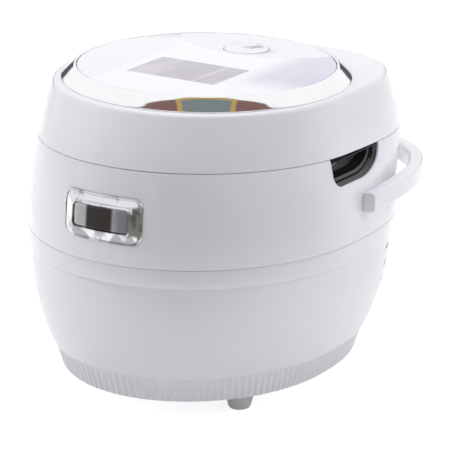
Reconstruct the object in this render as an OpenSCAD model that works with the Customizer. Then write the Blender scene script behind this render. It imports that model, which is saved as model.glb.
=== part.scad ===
/* [Housing] */
// Width of the housing at the belly
body_w = 260; // [250:1:270]
// Reach of the belly forward of the pot's axis
front_reach = 143.5; // [139:0.5:148]
// Reach of the belly behind the pot's axis
rear_reach = 151; // [148:1:155]
// Height of the belly above the table
belly_z = 131; // [127:1:135]
// Height of the seam between housing and lid, over the pot's axis
seam_z = 188; // [187:0.5:190]
// Fall of the seam towards the rear, in degrees
seam_fall = 1.7; // [1:0.1:1.8]
// Radius of the side profile above the belly
upper_arc = 220; // [180:5:260]
// Radius of the side profile below the waist
lower_arc = 178; // [160:5:220]
// Wall of the moulded shells
wall = 2.5; // [2:0.1:2.8]
// Facets round a moulded shell
facets = 80; // [48:4:96]

/* [Waist] */
// Height of the waist band
band_h = 14.5; // [12:0.5:18]
// Top of the waist band above the table
band_z = 122; // [119:0.5:125]
// Step in from the band to the lower shell
ledge = 2; // [1:0.1:2.5]

/* [Ribbed base] */
// Underside of the base above the table
base_z = 12; // [10:0.5:14]
// Top of the ribbed wall above the table
rib_top_z = 32; // [30:0.5:36]
// Ribs round the base
ribs = 104; // [72:4:120]
// Depth of a rib
rib_depth = 0.9; // [0.5:0.1:1.2]
// How far the ribbed wall leans in towards its foot
rib_lean = 6.5; // [4:0.5:8]
// Radius of a foot
foot_r = 9; // [8:0.5:11]
// Reach of the feet from the centre, across and along
foot_place = [71, 64]; // [60:1:74]

/* [Lid] */
// Height of the lid's rim
rim_z = 230.7; // [228:0.1:234]
// Half width of the rim
rim_r = 114.5; // [113:0.5:118]
// Reach of the rim forward of the pot's axis
rim_front = 117; // [114:0.5:120]
// Reach of the rim behind the pot's axis
rim_rear = 131; // [126:1:134]
// Outer radius of the chrome ring
ring_r = 109.5; // [108:0.1:111]
// Width of the chrome ring's slope
ring_slope = 10.7; // [9:0.1:12]
// Rise of the chrome ring above the rim
ring_rise = 9.7; // [9:0.1:11]
// Gap between moving edges
gap = 0.4; // [0.3:0.05:0.6]

/* [Vent] */
// Distance of the steam cap behind the pot's axis
vent_y = 57; // [54:1:62]
// Radius of the steam cap
cap_r = 17; // [15:0.5:18]
// Radius of the front edge of the vent cover
cover_arc = 85; // [78:1:92]
// Where the vent cover's front edge crosses the middle
cover_front = 20.5; // [18:0.5:24]

/* [Display] */
// Width and depth of the display
display_size = [77, 51]; // [44:1:80]
// Centre of the display, forward of the pot's axis
display_y = -26; // [-30:1:-20]

/* [Pot] */
// Outer radius of the inner pot
pot_r = 100; // [97:0.5:100]
// Height of the pot's underside
pot_z = 62.5; // [60:0.5:64]
// Wall of the inner pot
pot_wall = 2; // [1.5:0.1:2.5]
// Rounding of the pot's lower corner
pot_corner = 26; // [18:1:34]
// Height of the pot's rim
pot_rim_z = 181.5; // [180:0.1:181.8]

/* [Finger recess] */
// Front and rear ends of the recess, from the pot's axis
recess_y = [-22, 49]; // [-25:1:52]
// Depth of the recess below the seam
recess_h = 21.5; // [18:0.5:24]
// How far the pocket reaches in from the side
pocket_d = 15; // [10:0.5:15.5]

/* [Handle] */
// How far the handle's arms stand out from the belly
handle_proud = 8.5; // [7:0.5:12]
// How far the handle stands out behind the belly
handle_back = 26; // [22:1:34]
// Thickness of the handle
handle_t = 12; // [10:0.5:14]
// Lower and upper edge of the handle
handle_z = [141.5, 157]; // [138:0.5:159]
// Where the handle's arm starts, as an angle behind the widest line
handle_start = 6; // [5:0.5:9]
// Depth of the scoop behind the handle
scoop = 3; // [1:0.5:4]

/* [Release button] */
// Width and height of the chrome bezel
bezel_size = [67, 35]; // [33:0.5:70]
// Width and height of the button's face
button_size = [47, 17]; // [15:0.5:49]
// Height of the button's middle
button_z = 155.3; // [154:0.1:157]
// How far the bezel stands proud
bezel_rise = 3; // [2:0.5:4.5]

/* [Hinge] */
// Distance of the hinge pin behind the pot's axis
hinge_y = 148; // [147.5:0.5:149]
// Height of the hinge pin
hinge_z = 196; // [195:0.5:198]
// Radius of the hinge barrel
barrel_r = 9; // [8:0.5:9]
// Radius of the hinge pin
pin_r = 3; // [2.5:0.1:3.5]
// Half length of the hinge barrel
barrel_half = 49; // [46:1:52]
// Radial running clearance of a pin
run = 0.06; // [0.03:0.01:0.09]

/* [Hidden] */

$fn = 96;
half_w = body_w / 2;
band_low = band_z - band_h;
handle_w = half_w + handle_proud;
handle_reach = rear_reach + handle_back;

// Plan of the housing: an ellipse in front, a squarer superellipse behind
front_ratio = front_reach / half_w;
rear_ratio = rear_reach / half_w;
foot_swell = 1.039;
front_swell = 1.013;
rear_swell = 1.06;
corner_low = 2.45;
corner_high = 3.15;
corner_rim = 3.4;

function arc_drop(radius, dz) = radius - sqrt(radius * radius - dz * dz);
function half_width(z) =
    z > belly_z ? half_w - arc_drop(upper_arc, z - belly_z)
    : z >= band_low ? half_w
    : half_w - ledge - arc_drop(lower_arc, band_low - z);
function front_share(z) = front_ratio * lookup(z, [[rib_top_z, foot_swell], [band_low, 1],
    [band_z, 1], [seam_z, front_swell]]);
function rear_share(z) = rear_ratio * lookup(z, [[belly_z, 1], [seam_z, rear_swell]]);
function corner(z) = lookup(z, [[band_low, corner_low], [belly_z + 20, corner_high - 0.3],
    [seam_z, corner_high]]);

// Distance from the axis to an oval of half width w, front and rear reach f and r, corner n
function oval(t, w, f, r, n) =
    sin(t) < 0
    ? 1 / sqrt(pow(cos(t) / w, 2) + pow(sin(t) / f, 2))
    : pow(pow(abs(cos(t)) / w, n) + pow(sin(t) / r, n), -1 / n);
function housing_r(t, z, inset) =
    let (w = half_width(z))
    oval(t, w - inset, w * front_share(z) - inset, w * rear_share(z) - inset, corner(z));
function ease(v) = v <= 0 ? 0 : v >= 1 ? 1 : v * v * (3 - 2 * v);
function spin(r, t, z) = [r * cos(t), r * sin(t), z];
function steps(count) = [for (i = [0:count - 1]) i * 360 / count];
function housing_loop(z, inset, count) =
    [for (t = steps(count)) spin(housing_r(t, z, inset), t, z)];

// The seam falls towards the rear, so its height depends on the direction from the axis
function seam_edge(t) = seam_z - tan(seam_fall) * housing_r(t, seam_z, 0) * sin(t);
function seam_loop(below, inset) = [for (t = steps(facets))
    let (z = seam_edge(t) - below) spin(housing_r(t, z, inset), t, z)];

// The lid's plan runs from the seam's oval to the rim, round in front and squarish behind
lid_bend = 1.2;
function mix(a, b, s) = a + (b - a) * s;
function lid_r(t, s, inset) =
    let (z = seam_edge(t), w = half_width(z), k = pow(max(s, 0), lid_bend))
    oval(t, mix(w, rim_r, k) - inset, mix(w * front_share(z), rim_front, k) - inset,
        mix(w * rear_share(z), rim_rear, k) - inset, mix(corner(z), corner_rim, s));
function lid_loop(s, inset, dz) = [for (t = steps(facets))
    spin(lid_r(t, s, inset), t, mix(seam_edge(t) + gap, rim_z, s) + dz)];
function lid_share(t, z) = (z - seam_edge(t) - gap) / (rim_z - seam_edge(t) - gap);
function lid_inside(z, inset) =
    [for (t = steps(facets)) spin(lid_r(t, lid_share(t, z), inset), t, z)];
function circle_loop(r, z) = [for (t = steps(facets)) spin(r, t, z)];

// Skin over closed loops of points that run round in the same sense
function wrap_faces(a, b, count) = [for (i = [0:count - 1]) each
    let (j = (i + 1) % count)
    [[a * count + i, b * count + i, b * count + j], [a * count + i, b * count + j, a * count + j]]];
function fan(a, count, up) = [for (i = [1:count - 2])
    up ? [a * count, a * count + i + 1, a * count + i] : [a * count, a * count + i, a * count + i + 1]];

// A tube-like skin: the last loop joins the first
module skin_ring(loops) {
    count = len(loops[0]);
    last = len(loops) - 1;
    polyhedron([for (l = loops) each l],
        [for (k = [0:last]) each wrap_faces(k, (k + 1) % (last + 1), count)], convexity = 8);
}

// A solid skin with a flat cap at each end
module skin_solid(loops) {
    count = len(loops[0]);
    last = len(loops) - 1;
    polyhedron([for (l = loops) each l], concat(
        [for (k = [0:last - 1]) each wrap_faces(k, k + 1, count)],
        fan(0, count, false), fan(last, count, true)), convexity = 8);
}

// A round wire along a coil whose axis is Z
function coil_point(r, pitch, a) = [r * cos(a), r * sin(a), pitch * a / 360];
module coil(r, wire, pitch, turns) {
    sides = 5;
    per_turn = 11;
    lean = atan(pitch / (2 * PI * r));
    loops = [for (i = [0:per_turn * turns])
        let (a = i * 360 / per_turn, c = coil_point(r, pitch, a))
        [for (k = [0:sides - 1])
            let (b = -k * 360 / sides, u = wire * cos(b), v = wire * sin(b))
            c + [u * cos(a) + v * sin(lean) * sin(a), u * sin(a) - v * sin(lean) * cos(a),
                v * cos(lean)]]];
    skin_solid(loops);
}

// The origin is under the middle of the whole outline, so the pot's axis lies forward of it
bezel_front = bezel_rise - face_y(0, button_z - button_size[1] / 2 - 1.6);
axis_y = (max(bezel_front, front_reach) - handle_reach) / 2;

module on_axis() {
    translate([0, axis_y, 0]) children();
}

// A flat slab whose edge lies inside the housing as the housing is at height at
module housing_slab(z, h, at, inset) {
    translate([0, 0, z])
        linear_extrude(h) polygon([for (t = steps(facets))
            let (r = housing_r(t, at, inset + (at < collar_z ? scoop_at(t) : 0)))
            [r * cos(t), r * sin(t)]]);
}

module both_sides() {
    children();
    mirror([1, 0, 0]) children();
}

module bar(size, centre) {
    translate(centre - size / 2) cube(size);
}

module along_x(r, from, to, y, z) {
    translate([from, y, z]) rotate([0, 90, 0]) cylinder(r = r, h = to - from);
}

// ---------------------------------------------------------------- housing shells

// Depth of the finger scoop behind the handle, and the height of its upper crease
scoop_z = [162, 177];
function scoop_at(t) = scoop * ease((t - 10) / 20) * ease((170 - t) / 20);
function crease_z(t) = mix(scoop_z[0], scoop_z[1], ease((t - 8) / 40) * ease((172 - t) / 40));
function crease_loop(below) = [for (t = steps(facets))
    let (z = crease_z(t) - below)
    spin(housing_r(t, z, below > 0 ? scoop_at(t) : 0), t, z)];
function scooped_loop(z, inset) =
    [for (t = steps(facets)) spin(housing_r(t, z, inset + scoop_at(t)), t, z)];

collar_t = 3;
collar_r = pot_r + 4;
shield_r = pot_r + 6;
collar_top = pot_rim_z - 2;
collar_z = collar_top - collar_t;
seat_w = 2.5;

module upper_shell() {
    color("white") on_axis() difference() {
        skin_ring([
            housing_loop(band_z, 0, facets),
            housing_loop(band_z + 4, 0, facets),
            scooped_loop(handle_z[0] - 4, 0),
            scooped_loop(handle_z[1] + 1, 0),
            crease_loop(4),
            crease_loop(0),
            seam_loop(4, 0),
            seam_loop(0, 0),
            seam_loop(0, wall),
            housing_loop(collar_z, wall, facets),
            housing_loop(collar_z, wall + seat_w, facets),
            housing_loop(collar_z - 1.6, wall + seat_w, facets),
            scooped_loop(collar_z - 2.1, wall),
            scooped_loop(handle_z[1] + 3, wall),
            scooped_loop(handle_z[0] - 4, wall),
            housing_loop(band_z, wall, facets)]);
        both_sides() translate([half_w - 40, 0, 0]) recess_prism(60, 0);
        translate([0, -front_reach + 40, button_z]) rotate([90, 0, 0])
            linear_extrude(60) rounded(bezel_size, bezel_corner, gap / 2);
    }
}

module waist_band() {
    color("white") on_axis() skin_ring([
        housing_loop(band_low, 0, facets),
        housing_loop(band_low + 0.6, 0, facets),
        housing_loop(band_z - 1.5, 0, facets),
        housing_loop(band_z - 0.8, 0.8, facets),
        housing_loop(band_z, 0.8, facets),
        housing_loop(band_z, wall + 1.5, facets),
        housing_loop(band_low, wall + 1.5, facets)]);
}

module lower_shell() {
    flange = wall + 2;
    color("white") on_axis() difference() {
        skin_ring([
            housing_loop(rib_top_z, 1, facets),
            housing_loop(rib_top_z + 1.2, 0, facets),
            for (s = [0.2:0.2:0.8]) housing_loop(mix(rib_top_z, band_low, s), 0, facets),
            housing_loop(band_low - 0.01, 0, facets),
            housing_loop(band_low - 0.01, wall, facets),
            for (s = [0.66, 0.33]) housing_loop(mix(rib_top_z, band_low, s), wall, facets),
            housing_loop(rib_top_z + wall, wall, facets),
            housing_loop(rib_top_z + wall, wall + flange, facets),
            housing_loop(rib_top_z, wall + flange, facets)]);
        bar([inlet_size[0] + gap, 60, inlet_size[1] + gap], [0, rear_reach, inlet_z]);
        both_sides() for (k = [0:side_vents - 1])
            rotate([0, 0, vent_turn]) bar([60, vent_slot[0], vent_slot[1]],
                [half_w, 0, band_low - 10 - k * vent_pitch]);
    }
}

// Cooling slots behind the widest line on each side
side_vents = 3;
vent_turn = 33;
vent_slot = [15, 2.4];
vent_pitch = 13;

// ---------------------------------------------------------------- ribbed base

base_inset = 2.3;
function rib_wave(i) = i % 3 == 0 ? rib_depth : 0;
function base_r(t, z, inset) = housing_r(t, rib_top_z,
    inset + base_inset + rib_lean * (rib_top_z - z) / (rib_top_z - base_z));
rib_points = 3;
function ribbed_loop(z) = [for (i = [0:rib_points * ribs - 1])
    let (t = i * 360 / (rib_points * ribs)) spin(base_r(t, z, rib_wave(i)), t, z)];
function base_loop(z, inset) =
    [for (t = steps(rib_points * ribs)) spin(base_r(t, z, inset), t, z)];
foot_spots = [for (x = [-1, 1], y = [-1, 1]) [x * foot_place[0], y * foot_place[1]]];
post_r = 5;
post_spots = [for (t = [30, 150, 270]) [70 * cos(t), 70 * sin(t)]];
screw_spots = [for (x = [-1, 1], y = [-1, 1]) [x * (foot_place[0] - 24), y * (foot_place[1] + 24)]];
screw_r = 1.6;

module base_tray() {
    foot_rim = wall + 1.4;
    color("white") on_axis() {
        skin_ring([ribbed_loop(base_z + 1), ribbed_loop(rib_top_z - 0.01),
            base_loop(rib_top_z - 0.01, wall + rib_depth), base_loop(base_z + 1, wall + rib_depth)]);
        difference() {
            translate([0, 0, base_z]) linear_extrude(wall + 0.5) polygon([for (t = steps(facets))
                let (r = base_r(t, base_z + 1, rib_depth + 0.8)) [r * cos(t), r * sin(t)]]);
            for (p = foot_spots) translate([p[0], p[1], 0]) cylinder(r = foot_peg_r + 0.05, h = 40);
            for (p = screw_spots) translate([p[0], p[1], 0]) cylinder(r = screw_r + 0.1, h = 40);
            for (k = [-4:4]) bar([4, 62 - 5 * abs(k), 20], [k * 9, 0, base_z]);
        }
        for (p = post_spots) translate([p[0], p[1], base_z + wall]) difference() {
            cylinder(r = post_r, h = shield_z - base_z - wall);
            translate([0, 0, 10]) cylinder(r = 1.5, h = 60);
        }
        for (p = screw_spots) translate([p[0], p[1], base_z + wall]) difference() {
            cylinder(r = screw_r + 2.4, h = 12);
            translate([0, 0, -1]) cylinder(r = screw_r + 0.1, h = 20);
        }
    }
}

foot_peg_r = 3.5;

module rubber_feet() {
    color("lightgray") on_axis() for (p = foot_spots) translate([p[0], p[1], 0])
        rotate_extrude() polygon([[0, 0], [foot_r - 2.2, 0], [foot_r - 1.4, 0.8],
            [foot_r, base_z - 1.5], [foot_r, base_z], [foot_peg_r, base_z],
            [foot_peg_r, base_z + wall + 2], [0, base_z + wall + 2]]);
}

module base_screws() {
    color("silver") on_axis() for (p = screw_spots) translate([p[0], p[1], 0]) {
        translate([0, 0, base_z - 1.4]) cylinder(r = screw_r + 1.6, h = 1.4);
        translate([0, 0, base_z - 0.1]) cylinder(r = screw_r, h = 12);
    }
}

// ---------------------------------------------------------------- finger recess

module recess_outline(grow) {
    front_corner = 10;
    rear_corner = 22;
    low = seam_z - recess_h;
    hull() {
        translate([recess_y[0] + front_corner, low + front_corner])
            circle(front_corner + grow, $fn = 48);
        translate([recess_y[1] - rear_corner, low + rear_corner])
            circle(rear_corner + grow, $fn = 48);
        translate([recess_y[0] - grow, seam_z - 1])
            square([recess_y[1] - recess_y[0] + 2 * grow, 30]);
    }
}

module recess_prism(length, grow) {
    rotate([90, 0, 90]) linear_extrude(length) recess_outline(grow);
}

pocket_x = half_w - wall - scoop - pocket_d;
pocket_top = seam_z - 2.5;

module pocket_right() {
    pocket_wall = 1.6;
    step_in = 2;
    step_x = 4;
    low = seam_z - recess_h - 2;
    color("black") on_axis() intersection() {
        translate([pocket_x, 0, 0]) difference() {
            recess_prism(40, 0);
            for (k = [0:2]) translate([pocket_wall + k * step_x, 0, 0])
                recess_prism(40, (k - 2) * step_in - pocket_wall);
        }
        housing_slab(low, pocket_top - low, collar_z - 8, wall + 0.3);
    }
}

module pocket_left() {
    mirror([1, 0, 0]) pocket_right();
}

module top_collar() {
    color("dimgray") on_axis() difference() {
        union() {
            housing_slab(collar_z, collar_t, collar_z + collar_t / 2, wall + gap);
            translate([0, 0, collar_z - 8]) cylinder(r = shield_r - 0.4, h = 9);
        }
        translate([0, 0, collar_z - 20]) cylinder(r = collar_r, h = 40);
        both_sides() bar([60, recess_y[1] - recess_y[0], 20],
            [pocket_x + 30, (recess_y[0] + recess_y[1]) / 2, collar_z]);
        bar([24, 18, 20], [0, latch_y + 4, collar_z]);
        both_sides() bar([20, 30, 20], [barrel_half - 9.5, hinge_y + 1, collar_z]);
        bar([60, 30, 20], [0, hinge_y + 1, collar_z + 11]);
    }
}

// ---------------------------------------------------------------- handle

function handle_outer(t) = oval(t, handle_w, handle_w, handle_reach, 3);
function handle_inner(t, z) = max(handle_outer(t) - handle_t, housing_r(t, z, scoop_at(t)) + 0.05);
handle_round = 3;
handle_stations = 44;

function handle_section(t) =
    let (o = handle_outer(t), a = handle_z[0], b = handle_z[1], c = handle_round,
        low = handle_inner(t, a), high = handle_inner(t, b))
    [spin(low + min(c, (o - low) / 3), t, a), spin(low, t, a + c), spin(high, t, b - c),
        spin(high + min(c, (o - high) / 3), t, b), spin(o - c, t, b), spin(o - c * 0.3, t, b - c * 0.3),
        spin(o, t, b - c), spin(o, t, a + c), spin(o - c * 0.3, t, a + c * 0.3), spin(o - c, t, a)];

module rear_handle() {
    sweep = 180 - 2 * handle_start;
    color("white") on_axis()
        skin_solid([for (i = [0:handle_stations])
            handle_section(handle_start + sweep * i / handle_stations)]);
}

// ---------------------------------------------------------------- pot and heater

shield_z = 50;
shield_t = 0.8;
plate_r = 75;
plate_hole_r = 18;
tube_r = 4.5;
tube_ring_r = 52;

module heat_shield() {
    color("silver") on_axis() difference() {
        union() {
            translate([0, 0, shield_z]) difference() {
                cylinder(r = shield_r + shield_t, h = collar_z - shield_z);
                translate([0, 0, shield_t]) cylinder(r = shield_r, h = 200);
            }
            translate([0, 0, collar_z - shield_t]) difference() {
                cylinder(r = shield_r + 2.6, h = shield_t);
                translate([0, 0, -1]) cylinder(r = shield_r, h = 10);
            }
        }
        translate([0, 0, shield_z - 1]) cylinder(r = plate_r - 13, h = 10);
        for (p = post_spots) translate([p[0], p[1], shield_z - 1]) cylinder(r = 1.7, h = 5);
    }
}

module heating_plate() {
    lug_z = shield_z + shield_t;
    plate_z = lug_z + 3.2;
    color("gainsboro") on_axis() difference() {
        union() {
            translate([0, 0, plate_z]) cylinder(r = plate_r - 2, h = pot_z - plate_z - 0.05);
            translate([0, 0, plate_z + 2]) cylinder(r = plate_r, h = pot_z - plate_z - 3.5);
            for (t = [0:60:300]) rotate([0, 0, t])
                bar([8, 12, 4.2], [plate_r - 7, 0, lug_z + 2.1]);
        }
        translate([0, 0, plate_z - 10]) cylinder(r = plate_hole_r, h = 40);
        translate([0, 0, plate_z]) rotate_extrude()
            translate([tube_ring_r, 0]) circle(tube_r + 0.1);
    }
}

module heater_tube() {
    plate_z = shield_z + shield_t + 3.2;
    color("dimgray") on_axis() translate([0, 0, plate_z]) {
        rotate([0, 0, 15]) rotate_extrude(angle = 330) translate([tube_ring_r, 0]) circle(tube_r);
        for (t = [15, 345]) rotate([0, 0, t]) translate([tube_ring_r, 0, -14])
            cylinder(r = 2, h = 14);
    }
}

stem_r = 4;
guide_z = 40;

module sensor_guide() {
    guide_r = plate_hole_r + 9;
    color("silver") on_axis() difference() {
        union() {
            translate([0, 0, guide_z]) cylinder(r = guide_r, h = 2);
            translate([0, 0, guide_z - 6]) cylinder(r = stem_r + 2, h = 7);
            for (t = [90, 210, 330]) rotate([0, 0, t])
                bar([3, 10, shield_z + shield_t + 3.2 - guide_z], [guide_r - 1.5, 0,
                    (shield_z + shield_t + 3.2 + guide_z) / 2]);
        }
        translate([0, 0, guide_z - 10]) cylinder(r = stem_r + run, h = 30);
    }
}

module sensor_cap() {
    cap_h = 9;
    color("gainsboro") on_axis() {
        translate([0, 0, pot_z - cap_h]) difference() {
            cylinder(r = plate_hole_r - 2, h = cap_h - 0.05);
            translate([0, 0, -1]) cylinder(r = plate_hole_r - 3.2, h = cap_h - 1);
        }
        translate([0, 0, guide_z - 8]) cylinder(r = stem_r, h = pot_z - guide_z + 8 - 1);
    }
}

module sensor_spring() {
    wire = 0.7;
    low = guide_z + 2 + wire + 0.1;
    high = pot_z - 2 - wire - 0.1;
    turns = 5;
    color("gray") on_axis() translate([0, 0, low])
        coil(stem_r + 3.5, wire, (high - low) / turns, turns);
}

pot_lip = 8;

// Half outline of the pot at an inset from its outer face
module pot_half(inset) {
    translate([0, pot_z + inset]) square([pot_r - pot_corner, pot_corner]);
    translate([0, pot_z + pot_corner]) square([pot_r - inset, pot_rim_z - pot_z - pot_corner]);
    translate([pot_r - pot_corner, pot_z + pot_corner]) intersection() {
        circle(pot_corner - inset);
        translate([0, -pot_corner]) square(2 * pot_corner);
    }
}

module inner_pot() {
    w = pot_wall;
    color("darkgray") on_axis() rotate_extrude() {
        difference() {
            pot_half(0);
            pot_half(w);
            translate([-1, pot_rim_z - 0.01]) square(2 * pot_r);
        }
        translate([pot_r - w, pot_rim_z - w]) square([pot_lip + w, w]);
    }
}

fuse_x = 30;
fuse_y = -66;
fuse_r = 3.2;

module thermal_fuse() {
    color("black") on_axis() {
        along_x(fuse_r, fuse_x - 10, fuse_x + 10, fuse_y, shield_z - fuse_r - 0.2);
        bar([24, 10, 1], [fuse_x, fuse_y, shield_z - 0.5]);
    }
}

// ---------------------------------------------------------------- electrics

board_y = 116;
board_size = [90, 1.6, 48];
board_z = 59;
floor_z = base_z + wall + 0.5;

module board_carrier() {
    color("white") on_axis() {
        bar([board_size[0] + 4, 2.5, board_size[2] + 4],
            [0, board_y - 1.25, board_z + board_size[2] / 2]);
        bar([48, 2.5, board_z - floor_z], [0, board_y - 1.25, (board_z + floor_z) / 2]);
        bar([48, 14, 2.5], [0, board_y - 9, floor_z + 1.25]);
        both_sides() bar([2.5, 8, 30], [22, board_y - 6, floor_z + 15]);
    }
}

module power_board() {
    color("darkgreen") on_axis() bar(board_size, [0, board_y + 0.8, board_z + board_size[2] / 2]);
}

module board_parts() {
    face = board_y + board_size[1];
    color("black") on_axis() {
        bar([20, 14, 20], [-26, face + 7, board_z + 14]);
        bar([26, 14, 22], [4, face + 7, board_z + 26]);
        translate([30, face + 5.5, board_z + 6]) cylinder(r = 5.5, h = 18);
        bar([10, 10, 6], [30, face + 5, board_z + 38]);
        bar([16, 9, 7], [-30, face + 4.5, board_z + 38]);
    }
}

inlet_size = [30, 20];
inlet_z = 47;
inlet_face = 137;

module mains_inlet() {
    depth = inlet_face - board_y - 1;
    color("black") on_axis() difference() {
        union() {
            bar([inlet_size[0], depth + 2, inlet_size[1]], [0, inlet_face - depth / 2, inlet_z]);
            bar([inlet_size[0] + 14, 2.5, inlet_size[1] + 2], [0, inlet_face - depth + 1, inlet_z]);
        }
        bar([inlet_size[0] - 5, depth, inlet_size[1] - 5], [0, inlet_face - depth / 2 + 2.5, inlet_z]);
        for (x = [-1, 1]) translate([x * (inlet_size[0] / 2 + 3.5), inlet_face - 40, inlet_z])
            rotate([-90, 0, 0]) cylinder(r = 1.6, h = 80);
    }
}

module inlet_pins() {
    color("silver") on_axis() for (x = [-7, 0, 7])
        bar([1.6, 14, 4], [x, inlet_face - 10.4, inlet_z + (x == 0 ? 3 : -2)]);
}

// ---------------------------------------------------------------- release button

bezel_corner = 8;
button_corner = 2.2;

module rounded(size, corner, grow) {
    offset(r = corner + grow, $fn = 32) square(size - 2 * [corner, corner], center = true);
}

// Points of a rounded rectangle, laid on the housing's front face and raised from it
edge_points = 3;
function rounded_points(size, corner, grow) =
    let (a = size[0] / 2 - corner, b = size[1] / 2 - corner, c = corner + grow)
    [for (q = [0:3]) each
        let (sx = q == 0 || q == 3 ? 1 : -1, sz = q < 2 ? 1 : -1)
        concat([for (k = [0:4]) let (t = q * 90 + k * 22.5) [sx * a + c * cos(t), sz * b + c * sin(t)]],
            q % 2 == 0 ? [for (k = [1:edge_points])
                [sx * a * (1 - 2 * k / (edge_points + 1)), sz * (b + c)]] : [])];
function face_y(x, z) = -half_width(z) * front_share(z) * sqrt(1 - pow(x / half_width(z), 2));
function face_loop(size, corner, grow, rise) = [for (p = rounded_points(size, corner, grow))
    [p[0], face_y(p[0], button_z + p[1]) - rise, button_z + p[1]]];

module button_bezel() {
    inner = 0.25;
    lip = 1;
    lip_t = 1.5;
    back = -wall - 0.45;
    color("silver") on_axis() skin_ring([
        face_loop(bezel_size, bezel_corner, -0.05, back),
        face_loop(bezel_size, bezel_corner, -0.05, 0.8),
        face_loop(bezel_size, bezel_corner, -1.2, 1.6),
        face_loop(button_size, button_corner, 1.6, bezel_rise),
        face_loop(button_size, button_corner, inner + 0.4, bezel_rise),
        face_loop(button_size, button_corner, inner, bezel_rise - 0.6),
        face_loop(button_size, button_corner, inner, back - lip_t),
        face_loop(bezel_size, bezel_corner, lip, back - lip_t),
        face_loop(bezel_size, bezel_corner, lip, back)]);
}

latch_y = 23.5 - front_reach;
latch_z = collar_z - 15;

// The button's stem ends just short of the latch's tail; its back is flat for the springs
stem_end = latch_y - 2.6;
stem_low = 12;
button_back = face_y(button_size[0] / 2, button_z) + wall + 4.5;

module release_button() {
    flange = -wall - 2.3;
    color("silver") on_axis() {
        skin_solid([
            [for (p = rounded_points(button_size, button_corner, 2))
                [p[0], button_back, button_z + p[1]]],
            face_loop(button_size, button_corner, 2, flange),
            face_loop(button_size, button_corner, -0.1, flange + 0.1),
            face_loop(button_size, button_corner, -0.1, bezel_rise - 0.9),
            face_loop(button_size, button_corner, -1.2, bezel_rise - 0.3)]);
        bar([8, stem_end - button_back + 1, 3],
            [0, (stem_end + button_back - 1) / 2, latch_z - stem_low]);
    }
}

module button_springs() {
    wire = 0.5;
    x = 16;
    front = button_back + wire + 0.05;
    back = latch_y - 4 - wire - 0.05;
    turns = 4;
    color("gray") on_axis() both_sides() translate([x, front, button_z]) rotate([-90, 0, 0])
        coil(4, wire, (back - front) / turns, turns);
}

latch_pin_r = 1.5;

module latch_bracket() {
    color("gray") on_axis() difference() {
        union() {
            both_sides() {
                bar([2, 14, collar_z - latch_z + 5], [11, latch_y + 1, (collar_z + latch_z - 5) / 2]);
                bar([12, 1.6, collar_z - button_z + 8],
                    [16, latch_y - 3.2, (collar_z + button_z - 8) / 2]);
                bar([12, 14, 1.6], [16, latch_y + 1, collar_z - 0.8]);
            }
            bar([21, 1.6, 3], [0, latch_y - 3.2, latch_z - 7.5]);
        }
        along_x(latch_pin_r + 0.02, -20, 20, latch_y, latch_z);
    }
}

module latch_lever() {
    nose_top = collar_z - 0.5;
    color("dimgray") on_axis() difference() {
        union() {
            along_x(4, -9.6, 9.6, latch_y, latch_z);
            bar([12, 4, nose_top - latch_z], [0, latch_y, (nose_top + latch_z) / 2]);
            bar([12, 9.5, 3.5], [0, latch_y + 2.75, nose_top - 1.75]);
            bar([12, 4, stem_low + 2], [0, latch_y, latch_z - stem_low / 2 - 1]);
        }
        along_x(latch_pin_r + run, -20, 20, latch_y, latch_z);
    }
}

module latch_pin() {
    color("silver") on_axis() along_x(latch_pin_r, -12, 12, latch_y, latch_z);
}

module catch_plate() {
    foot_z = collar_z - 6.2;
    top = liner_z - 0.02;
    color("silver") on_axis() {
        bar([18, 8, 1.6], [0, latch_y + 9.9, top - 0.8]);
        bar([14, 1.6, top - foot_z], [0, latch_y + 10, (top + foot_z) / 2]);
        bar([14, 5.6, 1.6], [0, latch_y + 8, foot_z + 0.8]);
    }
}

// ---------------------------------------------------------------- hinge

knuckle = 18;

module hinge_block() {
    leg_t = 7;
    reach = 13;
    leg_y = hinge_y - reach + leg_t / 2;
    foot_low = collar_z - 10;
    color("white") on_axis() difference() {
        union() {
            both_sides() {
                along_x(barrel_r, barrel_half - knuckle, barrel_half, hinge_y, hinge_z);
                bar([knuckle, reach + 4, barrel_r],
                    [barrel_half - knuckle / 2, hinge_y - (reach - 4) / 2,
                    hinge_z - barrel_r / 2]);
                bar([knuckle, leg_t, hinge_z - foot_low],
                    [barrel_half - knuckle / 2, leg_y, (hinge_z + foot_low) / 2]);
            }
            bar([2 * barrel_half, leg_t, collar_z - foot_low], [0, leg_y, (collar_z + foot_low) / 2]);
        }
        along_x(pin_r + 0.02, -100, 100, hinge_y, hinge_z);
    }
}

module hinge_pin() {
    color("silver") on_axis() along_x(pin_r, 2 - barrel_half, barrel_half - 2, hinge_y, hinge_z);
}

arm_half = barrel_half - knuckle - gap;
spring_half = 13;

module hinge_arm() {
    root = 118;
    arm_top = hinge_z + 5;
    color("dimgray") on_axis() difference() {
        union() {
            both_sides() {
                along_x(barrel_r - 1, spring_half, arm_half, hinge_y, hinge_z);
                bar([arm_half - spring_half, hinge_y - root, arm_top - liner_top],
                    [(arm_half + spring_half) / 2, (hinge_y + root) / 2,
                    (arm_top + liner_top) / 2]);
            }
            bar([2 * arm_half, 14, arm_top - liner_top],
                [0, root + 7, (arm_top + liner_top) / 2]);
        }
        along_x(pin_r + run, -100, 100, hinge_y, hinge_z);
    }
}

module lid_spring() {
    wire = 0.8;
    turns = 6;
    low = 0.5 - spring_half + wire;
    color("gray") on_axis() translate([low, hinge_y, hinge_z]) rotate([0, 90, 0])
        coil(pin_r + wire + 0.3, wire, -2 * low / turns, turns);
}

// ---------------------------------------------------------------- lid

liner_t = 2.5;
liner_z = seam_edge(-90) + gap + 1.2;
liner_top = liner_z + liner_t;
inner_lid_r = pot_r - 5;
opening_r = ring_r - 5.5;
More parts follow.
